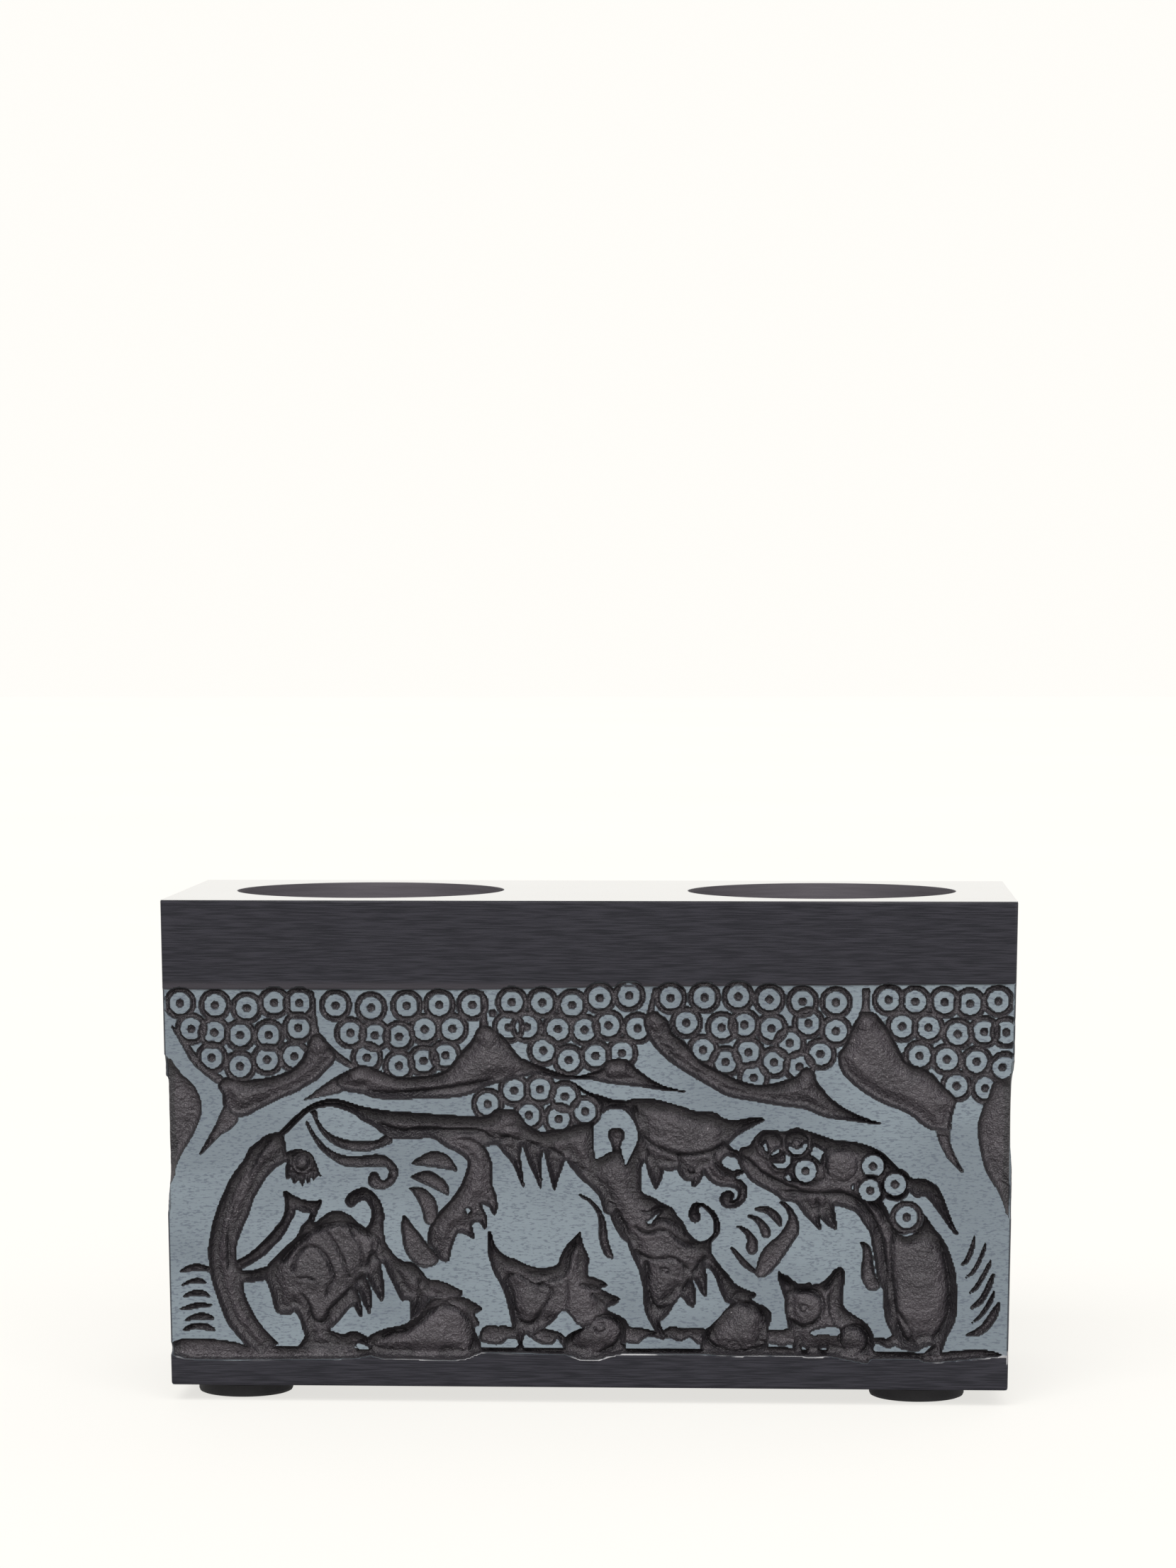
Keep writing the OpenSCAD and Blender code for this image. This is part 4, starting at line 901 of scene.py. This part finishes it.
def long_face(half_widths, rows, seed):
    face = Face(half_widths, rows)
    for outlines, deep, wall, rise in LONG_CUTS:
        for points in outlines:
            face.recess(points, deep, wall, rise)
    for points in LONG_ISLANDS:
        face.island(points, ISLAND_WALL)
    face.recess(KEYHOLE, 1.5, 1.0)
    for width, deep, points in LONG_CREASES:
        face.crease(width, deep, points)
    for x, z, radius, rise in LONG_BOSSES:
        face.boss(x, z, radius, rise)
    for x, z in KNUCKLES:
        face.boss(x, z, KNUCKLE_RADIUS, KNUCKLE_RISE)
    face.chisel(seed)
    for x, z in BACK_RINGS:
        face.ring(x, z, stands=True)
    for x, z, radius in LONG_RIMS:
        face.rim(x, z, radius)
    for x, z in LONG_RINGS:
        face.ring(x, z)
    for x, z in LONG_RINGS + BACK_RINGS + LONE_DIMPLES:
        face.dimple(x, z)
    face.bands(FOOT_LINE)
    return face


def short_face(half_widths, rows, seed):
    face = Face(half_widths, rows)
    for points in SHORT_REGIONS:
        face.recess(points, 2.3, 1.8, 0.6)
    for side in (list, mirrored):
        face.recess(side(CALF), 2.1, 1.4, 0.8)
        for points in SHORT_STROKES:
            face.recess(side(points), 1.2, 1.0)
    shift = EDGE_CUTS_FROM - HALF_DEPTH
    for outline, moved in ((EDGE_LEFT, shift), (EDGE_RIGHT, -shift)):
        face.recess([(x + moved, z) for x, z in outline], 0.5, 1.2)
    for side in (list, mirrored):
        ear = side(CALF_EAR)
        face.crease(0.3, 0.5, ear + ear[:1])
    for x, z in SHORT_EYES:
        face.boss(x, z, 0.7, 0.7)
    for width, deep, points in BARK_CREASES:
        face.crease(width, deep, points)
    face.chisel(seed)
    for x, z in SHORT_RINGS:
        face.ring(x, z)
        face.dimple(x, z)
    face.bands(SHORT_FOOT_LINE, 4)
    return face


# ---------------------------------------------------------------------------
# The stone as one closed mesh.
# ---------------------------------------------------------------------------


def worn(distance, radius):
    """How far an edge is rounded back, by distance from that edge."""
    return ROUND_SHARE * radius * np.clip(1 - distance / radius, 0, 1) ** 2


def half_width_at(z):
    return HALF_TOP - SIDE_TAPER * (1 - z / HEIGHT)


def wear_edges(face, rim):
    """Rounds a face's upright edges, its top edge and its bottom edge."""
    across = face.x[:, -1:] - np.abs(face.x)
    face.depth += worn(across, EDGE_ROUND) + worn(HEIGHT - face.z, RIM_WEAR)[:, None] * rim
    face.depth += worn(face.z, FOOT_WEAR)[:, None]


def pulled_in(face, before, after):
    """The face's columns, drawn away from corners that the next faces carve back."""
    half = face.x[:, -1:]
    right = smoothstep(0, 1, (face.x - half + CORNER_REACH) / CORNER_REACH)
    left = smoothstep(0, 1, (-face.x - half + CORNER_REACH) / CORNER_REACH)
    return face.x - right * after.depth[:, :1] + left * before.depth[:, -1:]


def wall_points(rows):
    """Rows of points round the four carved faces, counter-clockwise from the front's left corner."""
    long_half, short_half = half_width_at(rows), np.full(len(rows), HALF_DEPTH)
    front = long_face(long_half, rows, FRONT_SEED)
    side = short_face(short_half, rows, SIDE_SEED)
    for face in (front, side):
        wear_edges(face, 1.0 + 0.5 * value_noise(face.depth.shape, WEAR_PATCH / STEP, WEAR_SEED))
    along, across = pulled_in(front, side, side), pulled_in(side, front, front)
    z = np.broadcast_to(rows[:, None], along.shape)
    z_side = np.broadcast_to(rows[:, None], across.shape)
    half = long_half[:, None]
    parts = [
        np.stack([along, -HALF_DEPTH + front.depth, z], 2),
        np.stack([half - side.depth, across, z_side], 2),
        np.stack([-along, HALF_DEPTH - front.depth, z], 2),
        np.stack([-half + side.depth, -across, z_side], 2),
    ]
    return np.concatenate([p[:, :-1] for p in parts], 1)


def circle(x, radius, z, count):
    angle = np.arange(count) * 2 * math.pi / count
    return np.stack([x + radius * np.cos(angle), radius * np.sin(angle), np.full(count, z)], 1)


def add_loop(bm, points):
    return [bm.verts.new(Vector(p) * MM) for p in points]


def bridge(bm, low, high, material):
    for k in range(len(low)):
        j = (k + 1) % len(low)
        face = bm.faces.new((low[k], low[j], high[j], high[k]))
        face.material_index = material


def fill(bm, loops, upward, material):
    """Fills the flat area between loops of vertices."""
    edges = []
    for loop in loops:
        for k in range(len(loop)):
            pair = (loop[k], loop[(k + 1) % len(loop)])
            edges.append(bm.edges.get(pair) or bm.edges.new(pair))
    normal = (0, 0, 1 if upward else -1)
    made = bmesh.ops.triangle_fill(bm, use_beauty=True, edges=edges, normal=normal)
    for item in made["geom"]:
        if isinstance(item, bmesh.types.BMFace):
            item.material_index = material
            if (item.normal.z > 0) != upward:
                item.normal_flip()


def carve_well(bm, mount):
    """A round well: softened mouth, wall and dished floor. Returns the loop at its mouth."""
    x = mount["pos_m"][0] / MM
    radius, deep = mount["dims"]["r_mm"], mount["dims"]["length_mm"]
    top = HEIGHT + BOTTOM_Z
    rings = [(radius + 0.12, 0), (radius + 0.03, 0.03), (radius, 0.12), (radius, deep - 2)]
    rings += [(radius - 0.6, deep - 0.6), (radius - 2, deep), (radius * 0.5, deep), (1.0, deep)]
    loops = [add_loop(bm, circle(x, r, top - down, WELL_SIDES)) for r, down in rings]
    for upper, lower in zip(loops, loops[1:]):
        bridge(bm, lower, upper, WELL_SLOT)
    bm.faces.new(loops[-1]).material_index = WELL_SLOT
    return loops[0]


def stone_mesh():
    """The carved block as a mesh, and how many of its vertices belong to the carved walls."""
    count = int(round(HEIGHT / STEP)) + 1
    rows = np.linspace(0, HEIGHT, count)
    points = wall_points(rows)
    points[:, :, 2] += BOTTOM_Z
    mesh = bpy.data.meshes.new("carved_stone")
    bm = bmesh.new()
    loops = [add_loop(bm, row) for row in points]
    for low, high in zip(loops, loops[1:]):
        bridge(bm, low, high, WALL_SLOT)
    wall_count = len(bm.verts)
    inner = points[-1] * [1 - 1.0 / HALF_TOP, 1 - 1.0 / HALF_DEPTH, 1]
    top = add_loop(bm, inner)
    bridge(bm, loops[-1], top, TOP_SLOT)
    mouths = [carve_well(bm, WELLS[name]) for name in sorted(WELLS)]
    fill(bm, [top] + mouths, True, TOP_SLOT)
    fill(bm, [loops[0]], False, UNDER_SLOT)
    bm.to_mesh(mesh)
    bm.free()
    return mesh, wall_count


def triangle_count(mesh):
    return sum(len(p.vertices) - 2 for p in mesh.polygons)


def bake_modifiers(thing):
    shaped = thing.evaluated_get(bpy.context.evaluated_depsgraph_get())
    thing.data = bpy.data.meshes.new_from_object(shaped)
    thing.modifiers.clear()


def kept_inside(mesh, low, high):
    """Clamps vertices that thinning has pushed a hair past the CAD block's own box."""
    places = np.empty(len(mesh.vertices) * 3, np.float32)
    mesh.vertices.foreach_get("co", places)
    places = np.clip(places.reshape(-1, 3), np.array(low, np.float32), np.array(high, np.float32))
    mesh.vertices.foreach_set("co", places.ravel())
    mesh.update()


def shaded(stone):
    """Smooth shading that stays flat on the panels and breaks at the carved edges."""
    for polygon in stone.data.polygons:
        polygon.use_smooth = polygon.material_index in (WALL_SLOT, WELL_SLOT)
    stone.data.set_sharp_from_angle(angle=math.radians(SHARP_ANGLE))
    weighted = stone.modifiers.new("weighted", "WEIGHTED_NORMAL")
    weighted.keep_sharp = True
    bake_modifiers(stone)


def thinned(stone, wall_count):
    """Drops triangles from the carved walls where they aren't needed."""
    total = triangle_count(stone.data)
    if total <= TRIANGLES:
        return
    group = stone.vertex_groups.new(name="carved")
    group.add(range(wall_count), 1.0, "REPLACE")
    modifier = stone.modifiers.new("thin", "DECIMATE")
    modifier.ratio = TRIANGLES / total
    modifier.vertex_group = "carved"
    bake_modifiers(stone)


# ---------------------------------------------------------------------------
# Materials. Noise scales are per metre, bumps in metres, and linear() takes screen colours, 0 to 255.
# ---------------------------------------------------------------------------


def linear(red, green, blue):
    """A screen colour, 0 to 255, as the linear values a shader takes."""
    out = []
    for value in (red, green, blue):
        s = value / 255
        out.append(s / 12.92 if s <= 0.04045 else ((s + 0.055) / 1.055) ** 2.4)
    return (*out, 1.0)


class Nodes:
    """Short names for building one material's node tree."""

    def __init__(self, name):
        self.material = bpy.data.materials.new(name)
        self.material.use_nodes = True
        self.tree = self.material.node_tree
        self.shader = self.tree.nodes["Principled BSDF"]
        coordinates = self.tree.nodes.new("ShaderNodeTexCoord")
        self.place = coordinates.outputs["Object"]
        split = self.tree.nodes.new("ShaderNodeSeparateXYZ")
        self.link(self.place, split.inputs[0])
        self.x, self.y, self.z = split.outputs

    def link(self, source, target):
        self.tree.links.new(source, target)

    def put(self, value, target):
        if isinstance(value, bpy.types.NodeSocket):
            self.link(value, target)
        else:
            target.default_value = value

    def math(self, operation, a, b=0.0):
        node = self.tree.nodes.new("ShaderNodeMath")
        node.operation = operation
        self.put(a, node.inputs[0])
        self.put(b, node.inputs[1])
        return node.outputs[0]

    def times(self, a, b):
        return self.math("MULTIPLY", a, b)

    def step(self, value, low, high, out_low=0.0, out_high=1.0):
        """A smooth ramp of value, from out_low at low to out_high at high."""
        node = self.tree.nodes.new("ShaderNodeMapRange")
        node.interpolation_type = "SMOOTHSTEP"
        self.put(value, node.inputs["Value"])
        node.inputs["From Min"].default_value = low
        node.inputs["From Max"].default_value = high
        node.inputs["To Min"].default_value = out_low
        node.inputs["To Max"].default_value = out_high
        return node.outputs[0]

    def facing(self):
        """How squarely the stone faces along x and along y, 0 to 1."""
        geometry = self.tree.nodes.new("ShaderNodeNewGeometry")
        split = self.tree.nodes.new("ShaderNodeSeparateXYZ")
        self.link(geometry.outputs["Normal"], split.inputs[0])
        return self.math("ABSOLUTE", split.outputs[0]), self.math("ABSOLUTE", split.outputs[1])

    def noise(self, scale, detail=3.0, stretch=(1, 1, 1)):
        mapping = self.tree.nodes.new("ShaderNodeMapping")
        mapping.inputs["Scale"].default_value = stretch
        self.link(self.place, mapping.inputs["Vector"])
        node = self.tree.nodes.new("ShaderNodeTexNoise")
        node.inputs["Scale"].default_value = scale
        node.inputs["Detail"].default_value = detail
        self.link(mapping.outputs[0], node.inputs["Vector"])
        return node.outputs["Fac"]

    def mix(self, amount, a, b):
        node = self.tree.nodes.new("ShaderNodeMix")
        node.data_type = "RGBA"
        self.put(amount, node.inputs["Factor"])
        self.put(a, node.inputs[6])
        self.put(b, node.inputs[7])
        return node.outputs[2]

    def bump(self, height, distance, strength=1.0):
        node = self.tree.nodes.new("ShaderNodeBump")
        node.inputs["Strength"].default_value = strength
        node.inputs["Distance"].default_value = distance
        self.link(height, node.inputs["Height"])
        self.link(node.outputs[0], self.shader.inputs["Normal"])


def carve_depth(n):
    """How far a point lies behind its own side plane in mm, its height, and how steep the stone is there."""
    height = n.math("SUBTRACT", n.math("DIVIDE", n.z, MM), BOTTOM_Z)
    grow = n.times(height, SIDE_TAPER / HEIGHT)
    half = n.math("ADD", grow, HALF_TOP - SIDE_TAPER)
    across = n.math("SUBTRACT", half, n.math("DIVIDE", n.math("ABSOLUTE", n.x), MM))
    behind = n.math("SUBTRACT", HALF_DEPTH, n.math("DIVIDE", n.math("ABSOLUTE", n.y), MM))
    on_long = n.math("LESS_THAN", behind, across)
    facing_x, facing_y = n.facing()
    more = n.times(on_long, n.math("SUBTRACT", facing_y, facing_x))
    steep = n.step(n.math("ADD", facing_x, more), 0.88, 0.5)
    return n.math("MINIMUM", across, behind), height, steep


def panel_colour(n, flecks, streaks):
    """Pale sanded stone with dark flecks and faint scratches."""
    clouds = n.noise(26, 4.0, (1, 1, 1.7))
    pale = n.mix(n.step(clouds, 0.38, 0.62), linear(122, 132, 139), linear(111, 120, 127))
    pale = n.mix(n.times(n.step(flecks, 0.5, 0.68), 0.65), pale, linear(82, 88, 100))
    return n.mix(n.times(n.step(streaks, 0.56, 0.72), 0.35), pale, linear(96, 102, 114))


def recess_colour(n, depth, blotches, grain):
    """Dark waxy stone with light grains and painted glints, with painted shade where the cut is deepest, at
    its foot, and more faintly where it is shallow.
    """
    dark = n.mix(n.step(blotches, 0.35, 0.65), linear(42, 38, 43), linear(57, 52, 57))
    dark = n.mix(n.step(grain, 0.5, 0.7), dark, linear(77, 72, 77))
    # Painted glints: the brightest grains are lifted to a pale highlight colour.
    dark = n.mix(n.step(grain, 0.72, 0.8), dark, linear(176, 170, 172))
    # Painted shade: darker where the cut is deepest and, more faintly, where it is shallow.
    painted_trench_shade = n.math("MAXIMUM", n.step(depth, 2.05, 2.45), n.step(depth, 1.45, 0.9, 0, 0.35))
    return n.mix(n.times(painted_trench_shade, 0.7), dark, linear(36, 33, 37))


def band_colour(n, height, streaks):
    """The smooth dark bands, a little lighter in the cove under the top one."""
    band = n.mix(n.step(streaks, 0.32, 0.68), linear(27, 27, 33), linear(46, 45, 52))
    cove = n.times(n.step(height, 70.2, 70.6), n.step(height, 72.4, 71.2))
    return n.mix(n.times(cove, 0.8), band, linear(58, 55, 60))


def painted_foot_highlight(n, depth, height, blotches):
    """Where a painted highlight lies pale along the foot line's edge, in patches."""
    edge = n.times(n.step(depth, 0.02, 0.06), n.step(depth, 0.32, 0.24))
    near_foot = n.times(n.step(height, 7.2, 6.6), n.step(height, 4.4, 4.8))
    return n.times(n.times(edge, near_foot), n.step(blotches, 0.46, 0.56))


def carved_material():
    n = Nodes("carved_soapstone")
    depth, height, steep = carve_depth(n)
    in_panel = n.step(depth, 0.13, 0.24)
    in_recess = n.step(depth, 0.44, 0.6)
    streaks = n.noise(3600, 3.0, (0.05, 0.05, 1.2))
    flecks = n.noise(3200, 2.0, (0.4, 0.4, 1.2))
    blotches = n.noise(110, 3.0)
    grain = n.noise(3400, 2.0)

    colour = n.mix(in_panel, band_colour(n, height, streaks), panel_colour(n, flecks, streaks))
    colour = n.mix(in_recess, colour, recess_colour(n, depth, blotches, grain))
    # Painted shade: steep carved walls are darkened almost to black.
    painted_wall_shade = n.times(steep, n.step(depth, 0.1, 0.3))
    colour = n.mix(n.times(painted_wall_shade, 0.85), colour, linear(30, 28, 32))
    # Painted highlight: a pale line along the foot line's edge, in patches.
    colour = n.mix(painted_foot_highlight(n, depth, height, blotches), colour, linear(150, 149, 151))
    n.link(colour, n.shader.inputs["Base Color"])

    n.link(n.step(in_recess, 0, 1, 0.2, 0.45), n.shader.inputs["Specular IOR Level"])
    rough = n.step(in_panel, 0, 1, 0.4, 0.8)
    n.link(n.math("SUBTRACT", rough, n.times(in_recess, 0.38)), n.shader.inputs["Roughness"])
    tooling = n.math("ADD", n.times(n.noise(1300, 4.0), 0.9), n.times(grain, 0.45))
    rise = n.math("ADD", n.times(tooling, in_recess), n.times(flecks, 0.05))
    rise = n.math("ADD", rise, n.times(streaks, 0.05))
    n.bump(rise, 0.0005)
    return n.material


def polished_material():
    n = Nodes("polished_soapstone")
    veil = n.mix(n.step(n.noise(34, 5.0), 0.4, 0.62), linear(54, 56, 65), linear(74, 76, 87))
    specks = n.step(n.noise(1500, 2.0), 0.64, 0.74)
    veil = n.mix(n.times(specks, 0.5), veil, linear(104, 108, 118))
    n.link(veil, n.shader.inputs["Base Color"])
    rubbed = n.step(n.noise(900, 3.0, (0.04, 1, 1)), 0.35, 0.7, 0.04, 0.09)
    n.link(rubbed, n.shader.inputs["Roughness"])
    n.shader.inputs["Coat Weight"].default_value = 0.85
    n.shader.inputs["Coat Roughness"].default_value = 0.05
    n.bump(n.noise(60, 1.0), 0.00001, 0.3)
    return n.material


def plain_material(name, clouds, tones, rough, grain, bump):
    """Two mixed tones and a fine grain. clouds and grain go to Nodes.noise, bump to Nodes.bump."""
    n = Nodes(name)
    n.link(n.mix(n.noise(*clouds), linear(*tones[0]), linear(*tones[1])), n.shader.inputs["Base Color"])
    n.shader.inputs["Roughness"].default_value = rough
    n.bump(n.noise(*grain), *bump)
    return n.material


def well_material():
    tones, grain = ((74, 70, 76), (92, 87, 93)), (900, 2.0, (0.08, 0.08, 1))
    return plain_material("bored_soapstone", (90, 3.0), tones, 0.55, grain, (0.00012, 0.6))


def underside_material():
    tones = ((92, 93, 98), (112, 114, 118))
    return plain_material("honed_soapstone", (80, 4.0), tones, 0.6, (1200, 2.0), (0.00008, 0.5))


def rubber_material():
    tones = ((31, 30, 33), (42, 41, 45))
    return plain_material("foot_rubber", (700, 3.0), tones, 0.7, (2600, 2.0), (0.00006, 0.5))


def adhesive_material():
    tones = ((206, 203, 195), (222, 219, 211))
    return plain_material("adhesive_film", (400, 2.0), tones, 0.5, (900, 2.0), (0.00003, 0.4))


# ---------------------------------------------------------------------------
# Pieces, stage and camera.
# ---------------------------------------------------------------------------


def build_stone():
    mesh, wall_count = stone_mesh()
    stone = bpy.data.objects.new("carved_block", mesh)
    bpy.context.scene.collection.objects.link(stone)
    for material in (carved_material(), polished_material(), well_material(), underside_material()):
        mesh.materials.append(material)
    thinned(stone, wall_count)
    kept_inside(stone.data, STONE_LOW, STONE_HIGH)
    shaded(stone)
    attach(stone, "root")
    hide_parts("stone_block")


def build_pad(node, material):
    """A foot pad with its edges rounded, in the place of its CAD disc."""
    low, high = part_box(node)
    middle, radius = (low + high) / 2, (high.x - low.x) / 2
    soft = 0.6 * MM
    corner = soft * 0.3
    bm = bmesh.new()
    profile = [(radius - soft, low.z), (radius - corner, low.z + corner), (radius, low.z + soft)]
    profile += [(radius, high.z - soft), (radius - corner, high.z - corner), (radius - soft, high.z)]
    loops = []
    for r, z in profile:
        ring = [Vector((middle.x + p[0] * r, middle.y + p[1] * r, z)) for p in circle(0, 1, 0, PAD_SIDES)]
        loops.append([bm.verts.new(v) for v in ring])
    for lower, upper in zip(loops, loops[1:]):
        bridge(bm, lower, upper, 0)
    bm.faces.new(list(reversed(loops[0])))
    bm.faces.new(loops[-1])
    mesh = bpy.data.meshes.new("pad_" + node)
    bm.to_mesh(mesh)
    bm.free()
    pad = bpy.data.objects.new("pad_" + node, mesh)
    bpy.context.scene.collection.objects.link(pad)
    mesh.materials.append(material)
    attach(pad, "root")
    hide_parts(node)


def dress_feet():
    rubber, film = rubber_material(), adhesive_material()
    for name, node in sorted(frame["nodes"].items()):
        if name.startswith("foot_pad"):
            build_pad(name, rubber)
        if name.startswith("foot_adhesive"):
            node.data.materials.clear()
            node.data.materials.append(film)


def seen_or_cast(tree, seen, cast, reflected=True):
    """A strength that is seen to the camera, and to reflections if asked, and cast to everything else."""
    path = tree.nodes.new("ShaderNodeLightPath")
    either = tree.nodes.new("ShaderNodeMath")
    either.operation = "MAXIMUM"
    tree.links.new(path.outputs["Is Camera Ray"], either.inputs[0])
    if reflected:
        tree.links.new(path.outputs["Is Glossy Ray"], either.inputs[1])
    spread = tree.nodes.new("ShaderNodeMapRange")
    spread.inputs["To Min"].default_value = cast
    spread.inputs["To Max"].default_value = seen
    tree.links.new(either.outputs[0], spread.inputs["Value"])
    return spread.outputs[0]


def build_floor():
    n = Nodes("pale_floor")
    pale = n.mix(n.noise(3, 2.0), (0.21, 0.206, 0.197, 1), (0.23, 0.226, 0.216, 1))
    n.link(pale, n.shader.inputs["Base Color"])
    n.shader.inputs["Emission Color"].default_value = WARM_WHITE
    glow = seen_or_cast(n.tree, seen=0.72, cast=0.12, reflected=False)
    n.link(glow, n.shader.inputs["Emission Strength"])
    n.shader.inputs["Roughness"].default_value = 0.9
    n.shader.inputs["Specular IOR Level"].default_value = 0.0
    just_below = cad_low[2] - 0.05 * MM
    bpy.ops.mesh.primitive_plane_add(size=FLOOR_SIZE, location=(0, 0, just_below))
    floor = bpy.context.object
    floor.name = "floor"
    floor.data.materials.append(n.material)


def build_light():
    world = bpy.data.worlds.new("soft_white")
    world.use_nodes = True
    background = world.node_tree.nodes["Background"]
    background.inputs["Color"].default_value = WARM_WHITE
    strength = seen_or_cast(world.node_tree, seen=1.0, cast=0.5)
    world.node_tree.links.new(strength, background.inputs["Strength"])
    bpy.context.scene.world = world
    for energy, angle, direction in SUNS:
        lamp = bpy.data.lights.new("soft_key", "SUN")
        lamp.energy = energy
        lamp.angle = math.radians(angle)
        holder = bpy.data.objects.new("soft_key", lamp)
        holder.rotation_euler = [math.radians(d) for d in direction]
        bpy.context.scene.collection.objects.link(holder)
    bpy.context.scene.view_settings.view_transform = "Standard"


def build_camera():
    data = bpy.data.cameras.new("camera")
    data.lens = 102.6
    data.sensor_width = 36
    data.clip_start = 0.01
    data.clip_end = 100
    camera = bpy.data.objects.new("camera", data)
    yaw, pitch, roll = CAMERA_TURNS
    look = Vector((math.sin(yaw) * math.cos(pitch), math.cos(yaw) * math.cos(pitch), -math.sin(pitch)))
    turn = look.to_track_quat("-Z", "Y").to_matrix().to_4x4() @ Matrix.Rotation(roll, 4, "Z")
    x, y, z = CAMERA_PLACE
    place = Vector((x, y, z + BOTTOM_Z)) * MM
    camera.matrix_world = Matrix.Translation(place) @ turn
    bpy.context.scene.collection.objects.link(camera)
    bpy.context.scene.camera = camera


build_stone()
dress_feet()
build_floor()
build_light()
build_camera()
